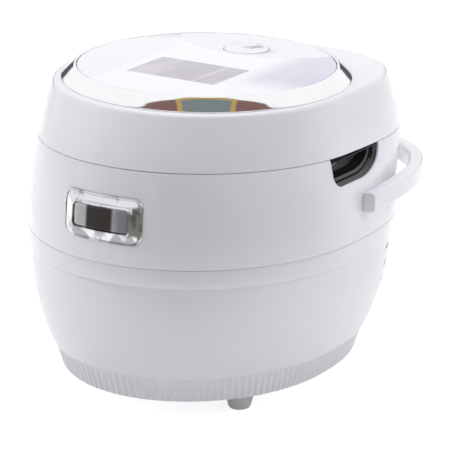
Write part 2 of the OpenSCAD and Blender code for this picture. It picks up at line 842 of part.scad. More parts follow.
// The holder hangs from the liner and carries the inner lid and the seal
holder_z = pot_rim_z + 4.6;
holder_r = [inner_lid_r - 7, inner_lid_r + 10];

notch_top = hinge_z + barrel_r + 2;

module lid_shell() {
    color("white") on_axis() difference() {
        skin_ring([
            lid_loop(0, 0.4, 0),
            lid_loop(0.012, 0, 0),
            for (s = [0.25, 0.5, 0.75, 0.93]) lid_loop(s, 0, 0),
            lid_loop(0.98, 0.5, 0),
            lid_loop(1, 2, 0),
            circle_loop(opening_r, rim_z),
            circle_loop(opening_r, rim_z - wall),
            lid_loop(1, wall + 1.5, -wall),
            lid_inside(rim_z - 14, wall),
            lid_inside(liner_top + 6, wall),
            lid_inside(liner_top + 3, wall + seat_w),
            lid_inside(liner_top, wall + seat_w),
            lid_inside(liner_top, wall),
            lid_loop(0, wall, 0)]);
        bar([2 * barrel_half + 2 * gap, 60, notch_top - collar_z],
            [0, hinge_y + 20, (notch_top + collar_z) / 2]);
        translate([-barrel_half - gap, hinge_y, hinge_z]) rotate([0, 90, 0])
            cylinder(r = barrel_r + 1.2, h = 2 * barrel_half + 2 * gap);
    }
}

module lid_liner() {
    color("whitesmoke") on_axis() difference() {
        union() {
            translate([0, 0, liner_z]) linear_extrude(liner_t) polygon([for (t = steps(facets))
                let (r = lid_r(t, lid_share(t, liner_top), wall + gap)) [r * cos(t), r * sin(t)]]);
            translate([0, 0, holder_z]) cylinder(r = holder_r[1], h = liner_z - holder_z + 0.5);
        }
        translate([0, 0, holder_z - 1]) cylinder(r = holder_r[0], h = 30);
        translate([0, 0, holder_z + 1.6]) difference() {
            cylinder(r = holder_r[1] - 1.6, h = 30);
            translate([0, 0, -1]) cylinder(r = holder_r[0] + 1.6, h = 40);
        }
        bar([2 * barrel_half + 2 * gap, 60, 30], [0, hinge_y + 16.3, liner_z]);
    }
}

module inner_lid() {
    t = 1.2;
    low = pot_rim_z + 1.6;
    top = holder_z - 0.02;
    color("silver") on_axis() difference() {
        rotate_extrude() polygon([[0, low], [inner_lid_r - 6, low], [inner_lid_r, top - t],
            [inner_lid_r, top], [inner_lid_r - 3, top], [inner_lid_r - 7, low + t], [0, low + t]]);
        for (x = [-1, 1], k = [-1:1]) translate([x * 5, vent_y - 8 + k * 10, low - 1])
            cylinder(r = 2.2, h = 5);
        translate([0, 0, low - 1]) cylinder(r = 6, h = 5);
    }
}

module pot_seal() {
    low = pot_rim_z + 0.3;
    mid = inner_lid_r + 5;
    top = holder_z - 0.05;
    color("whitesmoke") on_axis() rotate_extrude() polygon([[mid - 4.6, top],
        [mid - 4.6, top - 1.8], [mid - 1.5, low + 0.6], [mid, low], [mid + 1.5, low + 0.6],
        [mid + 4.6, top - 1.8], [mid + 4.6, top]]);
}

ring_in = ring_r - ring_slope;
panel_r = ring_in - 1.2;
shoulder_z = rim_z - 1;
tray_t = 2;
panel_t = 2.2;
panel_top = rim_z + ring_rise - 0.4;
panel_low = panel_top - panel_t;

module crown_disc() {
    translate([0, 0, panel_low]) cylinder(r = panel_r, h = panel_t, $fn = 180);
}

module cover_prism(grow) {
    translate([0, cover_front + cover_arc, 0]) cylinder(r = cover_arc + grow, h = 400);
}

module chrome_ring() {
    skirt = opening_r - 0.3;
    color("silver") on_axis() rotate_extrude($fn = 180) polygon([[ring_r, rim_z],
        [ring_r, rim_z + 0.6], [ring_r - 0.6, rim_z + 1.2],
        [mix(ring_r, ring_in, 0.5), rim_z + 0.58 * ring_rise], [ring_in, rim_z + ring_rise],
        [ring_in - 0.9, rim_z + ring_rise], [ring_in - 0.9, shoulder_z],
        [panel_r - 4, shoulder_z], [panel_r - 4, shoulder_z - 1.6],
        [skirt - 3, shoulder_z - 1.6], [skirt - 3, rim_z - 4], [skirt, rim_z - 4],
        [skirt, rim_z]]);
}

module top_panel() {
    color("lavender", 0.5) on_axis() difference() {
        crown_disc();
        cover_prism(0.15);
    }
}

module vent_cover() {
    color("white") on_axis() difference() {
        intersection() {
            crown_disc();
            cover_prism(0);
        }
        translate([0, vent_y, 0]) cylinder(r = cap_r + 0.3, h = 400);
    }
}

module panel_tray() {
    color("whitesmoke") on_axis() difference() {
        union() {
            translate([0, 0, shoulder_z]) cylinder(r = panel_r, h = tray_t);
            translate([0, 0, shoulder_z]) difference() {
                cylinder(r = panel_r, h = panel_low - shoulder_z);
                translate([0, 0, -1]) cylinder(r = panel_r - 4, h = 30);
            }
            translate([0, vent_y, shoulder_z]) cylinder(r = cap_r + 4, h = panel_low - shoulder_z);
            for (x = [-1, 1], y = [-1, 1]) translate([x * 40, display_y + y * 30, board_top])
                cylinder(r = 3, h = shoulder_z - board_top + 1);
        }
        translate([0, vent_y, 0]) cylinder(r = well_r + 0.3, h = 400);
        translate([0, vent_y, shoulder_z + tray_t]) cylinder(r = cap_r + 0.3, h = 400);
    }
}

board_top = shoulder_z - 4;

module touch_board() {
    color("darkgreen") on_axis()
        bar([96, 76, 1.6], [0, display_y, board_top - 0.8]);
}

module display() {
    low = shoulder_z + tray_t;
    high = panel_low - 0.05;
    color("dimgray") on_axis()
        bar([display_size[0], display_size[1], high - low], [0, display_y, (low + high) / 2]);
}

well_r = cap_r - 5;
well_z = pot_rim_z + 3.2;
flange_z = shoulder_z + tray_t;
flange_t = 1;

module steam_well() {
    color("whitesmoke") on_axis() translate([0, vent_y, 0]) difference() {
        union() {
            translate([0, 0, well_z]) cylinder(r = well_r, h = flange_z - well_z);
            translate([0, 0, flange_z]) cylinder(r = cap_r, h = flange_t);
        }
        translate([0, 0, well_z + 2]) cylinder(r = well_r - 2, h = 200);
        translate([0, 0, well_z - 1]) cylinder(r = 5, h = 10);
    }
}

module steam_cap() {
    low = flange_z + flange_t;
    color("white") on_axis() difference() {
        translate([0, vent_y, 0]) {
            translate([0, 0, low]) cylinder(r = cap_r, h = panel_top - low);
            translate([0, 0, low - 6]) cylinder(r = well_r - 2.4, h = 6.5);
        }
        translate([0, vent_y, low - 7]) cylinder(r = well_r - 4, h = 8);
        for (k = [0:2]) bar([11 - 2.2 * k, 1.2, 20], [0, vent_y + 2 + k * 3.2, low + 4]);
    }
}

base_tray();
rubber_feet();
base_screws();
lower_shell();
waist_band();
upper_shell();
rear_handle();
top_collar();
pocket_right();
pocket_left();
heat_shield();
heating_plate();
heater_tube();
sensor_guide();
sensor_cap();
sensor_spring();
inner_pot();
board_carrier();
power_board();
board_parts();
thermal_fuse();
mains_inlet();
inlet_pins();
button_bezel();
release_button();
button_springs();
latch_bracket();
latch_lever();
latch_pin();
hinge_block();
hinge_pin();
lid_spring();
lid_shell();
hinge_arm();
lid_liner();
inner_lid();
pot_seal();
catch_plate();
panel_tray();
touch_board();
display();
chrome_ring();
top_panel();
vent_cover();
steam_well();
steam_cap();
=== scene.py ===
"""Looks of a countertop rice cooker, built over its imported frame.

Every length in the classes is in millimetres, measured from the axis of the cooking pot,
with heights above the table. Surface.place turns them into metres in the row's frame.
"""
import logging
import math
from dataclasses import dataclass, field
from enum import Enum

import bmesh
import bpy
import numpy as np
from mathutils import Matrix, Vector


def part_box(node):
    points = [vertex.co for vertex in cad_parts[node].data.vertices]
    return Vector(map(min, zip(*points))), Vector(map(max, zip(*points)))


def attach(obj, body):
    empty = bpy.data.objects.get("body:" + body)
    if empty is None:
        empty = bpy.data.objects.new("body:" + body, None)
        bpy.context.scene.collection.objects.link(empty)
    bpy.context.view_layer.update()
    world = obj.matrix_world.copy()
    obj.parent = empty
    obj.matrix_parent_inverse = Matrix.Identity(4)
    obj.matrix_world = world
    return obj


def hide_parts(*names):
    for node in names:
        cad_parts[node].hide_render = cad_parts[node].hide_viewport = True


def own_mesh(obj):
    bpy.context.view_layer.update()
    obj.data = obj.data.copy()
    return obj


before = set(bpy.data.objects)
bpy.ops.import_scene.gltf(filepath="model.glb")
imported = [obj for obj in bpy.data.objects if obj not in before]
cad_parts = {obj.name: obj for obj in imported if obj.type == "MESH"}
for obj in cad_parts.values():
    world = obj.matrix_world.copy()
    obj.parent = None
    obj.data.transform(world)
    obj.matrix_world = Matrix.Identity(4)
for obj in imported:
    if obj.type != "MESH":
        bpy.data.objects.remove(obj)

Array = np.ndarray
Colour = tuple[float, float, float]
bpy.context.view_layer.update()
LOG = logging.getLogger("rice_cooker")


# ------------------------------------------------------------------ shader maths


class Sock:
    """A shader socket that can be used in Python arithmetic."""

    def __init__(self, graph: "Graph", socket: bpy.types.NodeSocket) -> None:
        """Keeps the graph that the socket belongs to."""
        self.graph = graph
        self.socket = socket

    def __add__(self, other: "Sock | float") -> "Sock":
        """Sum with a socket or a number."""
        return self.graph.math("ADD", self, other)

    __radd__ = __add__

    def __sub__(self, other: "Sock | float") -> "Sock":
        """Difference with a socket or a number."""
        return self.graph.math("SUBTRACT", self, other)

    def __rsub__(self, other: "Sock | float") -> "Sock":
        """Difference from a number."""
        return self.graph.math("SUBTRACT", other, self)

    def __mul__(self, other: "Sock | float") -> "Sock":
        """Product with a socket or a number."""
        return self.graph.math("MULTIPLY", self, other)

    __rmul__ = __mul__

    def absolute(self) -> "Sock":
        """Size without its sign."""
        return self.graph.math("ABSOLUTE", self)

    def largest(self, other: "Sock | float") -> "Sock":
        """The larger of the two."""
        return self.graph.math("MAXIMUM", self, other)

    def ramp(self, low: float, high: float) -> "Sock":
        """Smooth step from 0 at low to 1 at high, or falling where low is above high.

        Args:
            low: Where the step is 0.
            high: Where it is 1.

        Returns:
            The step's socket.
        """
        flip = low > high
        step = self.graph.node("ShaderNodeMapRange", {"interpolation_type": "SMOOTHSTEP"}, {
            "Value": self, "From Min": min(low, high), "From Max": max(low, high),
            "To Min": 1.0 if flip else 0.0, "To Max": 0.0 if flip else 1.0})
        return Sock(self.graph, step.outputs["Result"])


class Graph:
    """A node tree with short ways to add nodes."""

    def __init__(self, tree: bpy.types.NodeTree) -> None:
        """Empties the tree."""
        self.tree = tree
        tree.nodes.clear()

    def node(self, kind: str, settings: dict[str, object] | None = None,
             inputs: dict[str | int, object] | None = None) -> bpy.types.Node:
        """Adds a node.

        Args:
            kind: The node's type name.
            settings: Properties, set before the sockets.
            inputs: Values, sockets or Socks for the node's inputs, by name or index.

        Returns:
            The new node.
        """
        made = self.tree.nodes.new(kind)
        for name, value in (settings or {}).items():
            setattr(made, name, value)
        for name, value in (inputs or {}).items():
            target = made.inputs[name]
            if isinstance(value, Sock):
                self.tree.links.new(value.socket, target)
            elif isinstance(value, tuple) and target.type == "RGBA" and len(value) == 3:
                target.default_value = (*value, 1.0)
            else:
                target.default_value = value
        return made

    def math(self, operation: str, *values: "Sock | float") -> Sock:
        """Adds a Math node and gives its result."""
        made = self.node("ShaderNodeMath", {"operation": operation}, dict(enumerate(values)))
        return Sock(self, made.outputs[0])

    def vector_math(self, operation: str, *values: object) -> Sock:
        """Adds a Vector Math node and gives its vector."""
        made = self.node("ShaderNodeVectorMath", {"operation": operation}, dict(enumerate(values)))
        return Sock(self, made.outputs[0])

    def blend(self, share: "Sock | float", a: "Sock | Colour", b: "Sock | Colour") -> Sock:
        """Mixes two colours: a where share is 0, b where it is 1.

        Args:
            share: How much of b shows.
            a: The first colour.
            b: The second colour.

        Returns:
            The mixed colour.
        """
        made = self.node("ShaderNodeMix", {"data_type": "RGBA"})
        for index, value in ((0, share), (6, a), (7, b)):
            if isinstance(value, Sock):
                self.tree.links.new(value.socket, made.inputs[index])
            elif isinstance(value, tuple):
                made.inputs[index].default_value = (*value, 1.0)
            else:
                made.inputs[index].default_value = value
        return Sock(self, made.outputs[2])

    def place(self) -> Sock:
        """The surface point in the object's own space, in metres."""
        return Sock(self, self.node("ShaderNodeTexCoord").outputs["Object"])

    def parts(self, vector: Sock) -> tuple[Sock, Sock, Sock]:
        """The three numbers of a vector."""
        made = self.node("ShaderNodeSeparateXYZ", None, {0: vector})
        return tuple(Sock(self, made.outputs[k]) for k in range(3))

    def noise(self, vector: Sock, scale: float, detail: float = 2.0) -> Sock:
        """Smooth noise from 0 to 1 at so many cells a metre.

        Args:
            vector: Where it is read.
            scale: Cells a metre.
            detail: How many finer layers it has.

        Returns:
            The noise.
        """
        made = self.node("ShaderNodeTexNoise", None,
                         {"Vector": vector, "Scale": scale, "Detail": detail})
        return Sock(self, made.outputs["Fac"])

    def stretched(self, vector: Sock, x: float, y: float, z: float) -> Sock:
        """The vector with each of its numbers multiplied."""
        return self.vector_math("MULTIPLY", vector, (x, y, z))

    def bump(self, height: Sock, depth: float) -> Sock:
        """A normal bent by a height from 0 to 1, over a depth in metres.

        Args:
            height: The height.
            depth: How deep a height of 1 is.

        Returns:
            The normal.
        """
        made = self.node("ShaderNodeBump", None,
                         {"Height": height, "Distance": depth, "Strength": 1.0})
        return Sock(self, made.outputs["Normal"])


# ------------------------------------------------------------------ finishes


@dataclass(frozen=True)
class Finish:
    """A finish: a colour, a roughness and the way they vary."""

    name: str
    colour: Colour
    roughness: float
    slot: str

    def shade(self, graph: Graph) -> dict[str, object]:
        """Inputs of the main shader.

        Args:
            graph: The material's nodes.

        Returns:
            The inputs.
        """
        raise NotImplementedError

    def toned(self, share: float) -> Colour:
        """The finish's colour with each of its numbers multiplied."""
        return tuple(c * share for c in self.colour)

    def material(self) -> bpy.types.Material:
        """The material of this finish, made once.

        Returns:
            The material, with the shader that shade describes.
        """
        known = bpy.data.materials.get(self.name)
        if known:
            return known
        made = bpy.data.materials.new(self.name)
        made.use_nodes = True
        graph = Graph(made.node_tree)
        inputs = self.shade(graph)
        main = graph.node("ShaderNodeBsdfPrincipled", None, inputs)
        graph.node("ShaderNodeOutputMaterial", None, {"Surface": Sock(graph, main.outputs[0])})
        return made


@dataclass(frozen=True)
class Moulding(Finish):
    """Moulded plastic: a faint cloudiness, a fine ripple and a few rubbed patches."""

    ripple: float = 0.00003
    grain: float = 900.0
    cloud: float = 0.03
    coat: float = 0.0

    def shade(self, graph: Graph) -> dict[str, object]:
        """Colour darkened by slow noise, roughness by finer noise, bump by the finest.

        Args:
            graph: The material's nodes.

        Returns:
            The inputs of the main shader.
        """
        at = graph.place()
        slow = graph.noise(at, 14.0, 3.0)
        fine = graph.noise(at, 120.0, 3.0)
        return {
            "Base Color": graph.blend(slow, self.toned(1 - self.cloud), self.colour),
            "Roughness": self.roughness + (fine - 0.5) * self.roughness * 0.35,
            "Normal": graph.bump(graph.noise(at, self.grain, 1.0), self.ripple),
            "Coat Weight": self.coat,
            "Coat Roughness": 0.06,
        }


@dataclass(frozen=True)
class Plating(Finish):
    """Bright plating: mirror-like, with faint wiping marks and, if asked for, painted dark reflection
    patches.
    """

    # smoke: strength of the painted dark reflection patches
    smoke: float = 0.0

    def shade(self, graph: Graph) -> dict[str, object]:
        """Roughness rises a little where slow and stretched noise overlap.

        Args:
            graph: The material's nodes.

        Returns:
            The inputs of the main shader.
        """
        at = graph.place()
        haze = graph.noise(at, 30.0, 4.0)
        wipe = graph.noise(graph.stretched(at, 1.0, 6.0, 1.0), 90.0, 2.0)
        mark = (haze * wipe).ramp(0.22, 0.5)
        clean = graph.blend(mark, self.colour, self.toned(0.93))
        # painted dark reflections: patches where stretched noise peaks, darkened by smoke
        patch = graph.noise(graph.stretched(at, 1.0, 1.0, 0.7), 85.0, 2.0).ramp(0.46, 0.60)
        return {
            "Base Color": graph.blend(patch * self.smoke, clean, self.toned(0.3)),
            "Metallic": 1.0,
            "Roughness": self.roughness + mark * 0.05,
        }


@dataclass(frozen=True)
class Brushed(Finish):
    """Rolled or brushed metal with fine lines along X."""

    lines: float = 700.0

    def shade(self, graph: Graph) -> dict[str, object]:
        """Noise stretched along X varies colour, roughness and bump together.

        Args:
            graph: The material's nodes.

        Returns:
            The inputs of the main shader.
        """
        at = graph.place()
        grain = graph.noise(graph.stretched(at, 0.04, 1.0, 1.0), self.lines, 3.0)
        stain = graph.noise(at, 18.0, 4.0)
        return {
            "Base Color": graph.blend(stain, self.toned(0.88), self.colour),
            "Metallic": 1.0,
            "Roughness": self.roughness + (grain - 0.5) * 0.2,
            "Normal": graph.bump(grain, 0.00002),
        }


@dataclass(frozen=True)
class Cast(Finish):
    """Cast metal: metallic, with a sandy skin."""

    def shade(self, graph: Graph) -> dict[str, object]:
        """Two sizes of noise vary colour and bump.

        Args:
            graph: The material's nodes.

        Returns:
            The inputs of the main shader.
        """
        at = graph.place()
        sand = graph.noise(at, 1400.0, 2.0)
        tone = graph.noise(at, 35.0, 4.0)
        return {
            "Base Color": graph.blend(tone, self.toned(0.82), self.colour),
            "Metallic": 1.0,
            "Roughness": self.roughness + (tone - 0.5) * 0.15,
            "Normal": graph.bump(sand, 0.00008),
        }


@dataclass(frozen=True)
class Coating(Finish):
    """Dark non-stick coating with pale flecks."""

    def shade(self, graph: Graph) -> dict[str, object]:
        """Flecks are the peaks of fine noise, and the coat is rougher between them.

        Args:
            graph: The material's nodes.

        Returns:
            The inputs of the main shader.
        """
        at = graph.place()
        fleck = graph.noise(at, 1500.0, 1.0).ramp(0.66, 0.72)
        tone = graph.noise(at, 22.0, 3.0)
        base = graph.blend(tone, self.toned(0.8), self.colour)
        return {
            "Base Color": graph.blend(fleck, base, (0.42, 0.42, 0.43)),
            "Roughness": self.roughness + (tone - 0.5) * 0.12,
            "Normal": graph.bump(graph.noise(at, 800.0, 2.0), 0.00004),
        }


@dataclass(frozen=True)
class Board(Finish):
    """Circuit board: green resist over a grid of tracks."""

    def shade(self, graph: Graph) -> dict[str, object]:
        """Tracks are the paler lines between the bricks of a brick pattern.

        Args:
            graph: The material's nodes.

        Returns:
            The inputs of the main shader.
        """
        at = graph.place()
        brick = graph.node("ShaderNodeTexBrick", {"offset": 0.37}, {
            "Vector": at, "Scale": 60.0, "Mortar Size": 0.03,
            "Color1": self.colour, "Color2": self.toned(0.85),
            "Mortar": tuple(min(1.0, c * 1.9 + 0.03) for c in self.colour)})
        track = Sock(graph, brick.outputs["Fac"])
        return {
            "Base Color": Sock(graph, brick.outputs["Color"]),
            "Roughness": self.roughness + track * 0.1,
            "Normal": graph.bump(track, 0.00005),
        }


@dataclass(frozen=True)
class MirrorPanel(Finish):
    """The lid's glossy cover: a mirror film, a grey display window, fine louvre lines and a painted
    bluish reflection on its right.
    """

    centre_y: float = 0.0
    window: tuple[float, float, float] = (0.0387, -0.0515, -0.0005)
    smoke: Colour = (0.30, 0.265, 0.32)

    def shade(self, graph: Graph) -> dict[str, object]:
        """Zones are smooth steps of x and y measured from the pot's axis.

        Args:
            graph: The material's nodes.

        Returns:
            The inputs of the main shader.
        """
        x, y, _ = graph.parts(graph.place())
        y = y - self.centre_y
        half, near, far = self.window
        soft = 0.0004
        inside = (x.absolute().ramp(half + soft, half - soft)
                  * y.ramp(near - soft, near + soft) * y.ramp(far + soft, far - soft))
        cloud = graph.noise(graph.stretched(graph.place(), 1.0, 0.35, 1.0), 55.0, 3.0)
        streak = graph.noise(graph.stretched(graph.place(), 1.0, 0.02, 1.0), 260.0, 1.0)
        wave = graph.math("SINE", y * (2 * math.pi / 0.0052))
        lines = wave.ramp(0.25, 0.75) * x.ramp(-0.044, -0.050)
        # right: painted bluish-grey reflection over the film's right part, made patchy by cloud
        right = x.ramp(0.034, 0.062) * y.ramp(-0.052, -0.006)
        film = graph.blend(lines * 0.6, self.colour, (0.58, 0.54, 0.72))
        film = graph.blend(right * (0.55 + 0.4 * cloud), film, (0.46, 0.46, 0.66))
        glass = graph.blend(cloud.ramp(0.35, 0.7), self.smoke,
                            tuple(min(1.0, c * 1.55) for c in self.smoke))
        glass = graph.blend(streak.ramp(0.6, 0.75) * 0.5, glass, (0.62, 0.60, 0.63))
        return {
            "Base Color": graph.blend(inside, film, glass),
            "Metallic": 0.55 * (1.0 - inside),
            "Roughness": self.roughness + graph.noise(graph.place(), 40.0, 3.0) * 0.03,
            "Coat Weight": 1.0,
            "Coat Roughness": 0.02,
        }


class Finishes(Enum):
    """Every finish on the cooker."""

    SHELL = Moulding("shell_gloss_white", (0.862, 0.834, 0.90), 0.20, "shell", coat=0.25)
    SHELL_LOW = Moulding("shell_satin_white", (0.862, 0.834, 0.90), 0.30, "shell", coat=0.1)
    GREY = Moulding("collar_grey", (0.33, 0.34, 0.36), 0.45, "grey_plastic", ripple=0.00006)
    PALE = Moulding("inner_white", (0.80, 0.80, 0.79), 0.5, "pale_plastic", ripple=0.00008)
    BLACK = Moulding("recess_black", (0.016, 0.016, 0.019), 0.16, "black_plastic", coat=0.25)
    RUBBER = Moulding("foot_rubber", (0.62, 0.62, 0.63), 0.62, "rubber", ripple=0.0001)
    SILICONE = Moulding("seal_silicone", (0.80, 0.80, 0.78), 0.55, "silicone", ripple=0.00005)
    RING = Plating("ring_chrome", (0.94, 0.94, 0.955), 0.03, "chrome")
    # the frame's chrome carries painted dark reflection patches through smoke
    CHROME = Plating("bright_chrome", (0.76, 0.76, 0.79), 0.04, "chrome", smoke=0.75)
    STEEL = Brushed("brushed_steel", (0.66, 0.67, 0.68), 0.30, "steel")
    WIRE = Brushed("spring_steel", (0.50, 0.51, 0.53), 0.34, "steel", lines=2000.0)
    CAST = Cast("cast_alloy", (0.72, 0.73, 0.74), 0.42, "cast")
    COATING = Coating("pot_coating", (0.055, 0.055, 0.06), 0.38, "pot_coat")
    BOARD = Board("board_green", (0.03, 0.17, 0.08), 0.35, "board")
    SCREEN = Moulding("screen_grey", (0.10, 0.10, 0.11), 0.12, "screen", coat=0.5)


# ------------------------------------------------------------------ surfaces


@dataclass
class Surface:
    """Vertices and faces of a piece, gathered from closed loops of points."""

    points: list[Array] = field(default_factory=list)
    quads: list[Array] = field(default_factory=list)
    caps: list[list[int]] = field(default_factory=list)
    total: int = 0

    def skin(self, loops: Array, closed: bool = False, cap_first: bool = False,
             cap_last: bool = False) -> "Surface":
        """Joins loops, each point to its neighbours in the loop and in the next loop.

        Args:
            loops: Points as [loop, point, xyz].
            closed: Whether the last loop joins the first.
            cap_first: Whether a flat face closes the first loop.
            cap_last: Whether a flat face closes the last loop.

        Returns:
            This surface.
        """
        rows, cols = loops.shape[:2]
        index = np.arange(rows * cols).reshape(rows, cols) + self.total
        low = index if closed else index[:-1]
        high = np.roll(index, -1, 0) if closed else index[1:]
        faces = np.stack([low, np.roll(low, -1, 1), np.roll(high, -1, 1), high], -1)
        self.points.append(loops.reshape(-1, 3))
        self.quads.append(faces.reshape(-1, 4))
        if cap_first:
            self.caps.append(index[0][::-1].tolist())
        if cap_last:
            self.caps.append(index[-1].tolist())
        self.total += rows * cols
        return self

    def build(self, name: str, sharp: float = 35.0) -> bpy.types.Object:
        """Makes the object, in metres in the row's frame.

        Args:
            name: Name of the piece.
            sharp: Angle in degrees past which an edge stays sharp.

        Returns:
            The object, with outward normals.
        """
        mesh = bpy.data.meshes.new(name)
        faces = [q for block in self.quads for q in block.tolist()] + self.caps
        mesh.from_pydata(place(np.concatenate(self.points)).tolist(), [], faces)
        made = linked(name, mesh)
        settle(made, sharp)
        return made


def linked(name: str, data: bpy.types.ID) -> bpy.types.Object:
    """A new object of the scene that holds the data.

    Args:
        name: The object's name.
        data: The mesh, camera or lamp that it holds.

    Returns:
        The object.
    """
    made = bpy.data.objects.new(name, data)
    bpy.context.scene.collection.objects.link(made)
    return made


def capped(loops: Array, name: str = "tool") -> bpy.types.Object:
    """A closed solid between its first and last loop, for cutting unless it is named."""
    return Surface().skin(loops, cap_first=True, cap_last=True).build(name)


def mix(a: Array, b: Array, share: Array) -> Array:
    """Straight blend: a where the share is 0, b where it is 1."""
    return a + (b - a) * share


def place(points: Array) -> Array:
    """Millimetres from the pot's axis to metres in the row's frame."""
    return (np.asarray(points, float) + (0.0, AXIS_Y, 0.0)) * 0.001


def settle(piece: bpy.types.Object, sharp: float) -> None:
    """Merges doubles, points faces outwards and smooths all but the sharp edges.

    Args:
        piece: The piece to finish.
        sharp: Angle in degrees past which an edge stays sharp.
    """
    form = bmesh.new()
    form.from_mesh(piece.data)
    bmesh.ops.remove_doubles(form, verts=form.verts, dist=1e-6)
    bmesh.ops.recalc_face_normals(form, faces=form.faces)
    form.to_mesh(piece.data)
    form.free()
    piece.data.shade_smooth()
    piece.data.set_sharp_from_angle(angle=math.radians(sharp))


def cut(piece: bpy.types.Object, *tools: bpy.types.Object, sharp: float = 35.0) -> None:
    """Takes each tool's solid out of the piece, then drops the tools.

    Args:
        piece: The piece that is cut.
        tools: Closed solids.
        sharp: Angle in degrees past which an edge stays sharp.
    """
    for tool in tools:
        step = piece.modifiers.new("cut", "BOOLEAN")
        step.operation, step.solver, step.object = "DIFFERENCE", "EXACT", tool
        bpy.context.view_layer.update()
        graph = bpy.context.evaluated_depsgraph_get()
        mesh = bpy.data.meshes.new_from_object(piece.evaluated_get(graph))
        piece.modifiers.clear()
        old, piece.data = piece.data, mesh
        mesh.name = piece.name
        bpy.data.meshes.remove(old)
        bpy.data.objects.remove(tool)
    piece.data.shade_smooth()
    piece.data.set_sharp_from_angle(angle=math.radians(sharp))


def box_solid(low: tuple[float, float, float],
              high: tuple[float, float, float]) -> bpy.types.Object:
    """A box between two corners, for cutting.

    Args:
        low: Its lowest corner.
        high: Its highest corner.

    Returns:
        The box.
    """
    a, b = np.array(low, float), np.array(high, float)
    square = np.array([[0, 0], [1, 0], [1, 1], [0, 1]], float)
    loops = np.stack([np.column_stack([a[:2] + square * (b - a)[:2], np.full(4, z)])
                      for z in (a[2], b[2])])
    return capped(loops)


def revolve(profile: Array, count: int = 240, centre: tuple[float, float] = (0.0, 0.0)) -> Surface:
    """Turns a closed outline of (radius, height) points about an upright line.

    Args:
        profile: Points as [point, (radius, height)].
        count: Steps round the turn.
        centre: Place of the line.

    Returns:
        The surface: x = centre + radius * cos, y = centre + radius * sin.
    """
    turn = np.linspace(0, 2 * np.pi, count, endpoint=False)
    r, z = profile[:, :1], profile[:, 1:]
    loops = np.stack([centre[0] + r * np.cos(turn), centre[1] + r * np.sin(turn),
                      np.broadcast_to(z, (len(profile), count))], -1)
    return Surface().skin(loops, closed=True)


def rounded(profile: Array, radii: Array, steps: int = 6) -> Array:
    """Rounds the corners of a closed outline with quadratic curves.

    Args:
        profile: Corner points as [corner, 2].
        radii: How far from each corner its curve begins.
        steps: Points on each curve.

    Returns:
        The rounded outline: each corner becomes (1-u)^2 a + 2u(1-u) corner + u^2 b.
    """
    before = np.roll(profile, 1, 0) - profile
    after = np.roll(profile, -1, 0) - profile
    back, on = np.linalg.norm(before, axis=1), np.linalg.norm(after, axis=1)
    reach_a = np.minimum(radii, back * 0.49) / back
    reach_b = np.minimum(radii, on * 0.49) / on
    a = profile + before * reach_a[:, None]
    b = profile + after * reach_b[:, None]
    u = np.linspace(0, 1, steps)[None, :, None]
    return ((1 - u) ** 2 * a[:, None] + 2 * u * (1 - u) * profile[:, None]
            + u ** 2 * b[:, None]).reshape(-1, 2)


def tube(path: Array, radius: float, sides: int = 12, closed: bool = False) -> Surface:
    """A round bead along a path.

    Args:
        path: Points as [point, xyz].
        radius: Radius of the bead.
        sides: Points round it.
        closed: Whether the path joins up.

    Returns:
        The surface: each path point plus radius times a circle across its direction.
    """
    if closed:
        along = np.roll(path, -1, 0) - np.roll(path, 1, 0)
    else:
        along = np.gradient(path, axis=0)
    along /= np.linalg.norm(along, axis=1)[:, None]
    side = np.cross(along, (0.97, 0.1, 0.2))
    side /= np.linalg.norm(side, axis=1)[:, None]
    up = np.cross(along, side)
    turn = np.linspace(0, 2 * np.pi, sides, endpoint=False)
    loops = (path[:, None] + radius * (side[:, None] * np.cos(turn)[None, :, None]
                                       + up[:, None] * np.sin(turn)[None, :, None]))
    return Surface().skin(loops, closed=closed, cap_first=not closed, cap_last=not closed)


def ease(value: Array) -> Array:
    """Smooth step: 0 below 0, 1 above 1, 3v^2 - 2v^3 between."""
    v = np.clip(value, 0, 1)
    return v * v * (3 - 2 * v)


def spin(radius: Array, turn: Array, height: Array) -> Array:
    """Points at a radius and height for each angle of turn."""
    radius, turn, height = np.broadcast_arrays(radius, turn, height)
    return np.stack([radius * np.cos(turn), radius * np.sin(turn), height], -1)


def dress(piece: bpy.types.Object, finish: Finishes | Finish, body: str,
          *nodes: str) -> bpy.types.Object:
    """Gives a piece its finish, its body and the CAD nodes that it stands for.

    Args:
        piece: The piece.
        finish: Its finish.
        body: The CAD body that carries it.
        nodes: CAD nodes that it replaces.

    Returns:
        The piece.
    """
    look = finish.value if isinstance(finish, Finishes) else finish
    piece.data.materials.clear()
    piece.data.materials.append(look.material())
    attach(piece, body)
    for node in nodes:
        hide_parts(node)
    LOG.info("%s: %d faces on %s", piece.name, len(piece.data.polygons), body)
    return piece


pot_low, pot_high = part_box("inner_pot")
AXIS_Y = 500.0 * (pot_low.y + pot_high.y)
STEPS = 360
TURN = np.linspace(0, 2 * np.pi, STEPS, endpoint=False)


# ------------------------------------------------------------------ the cooker's form


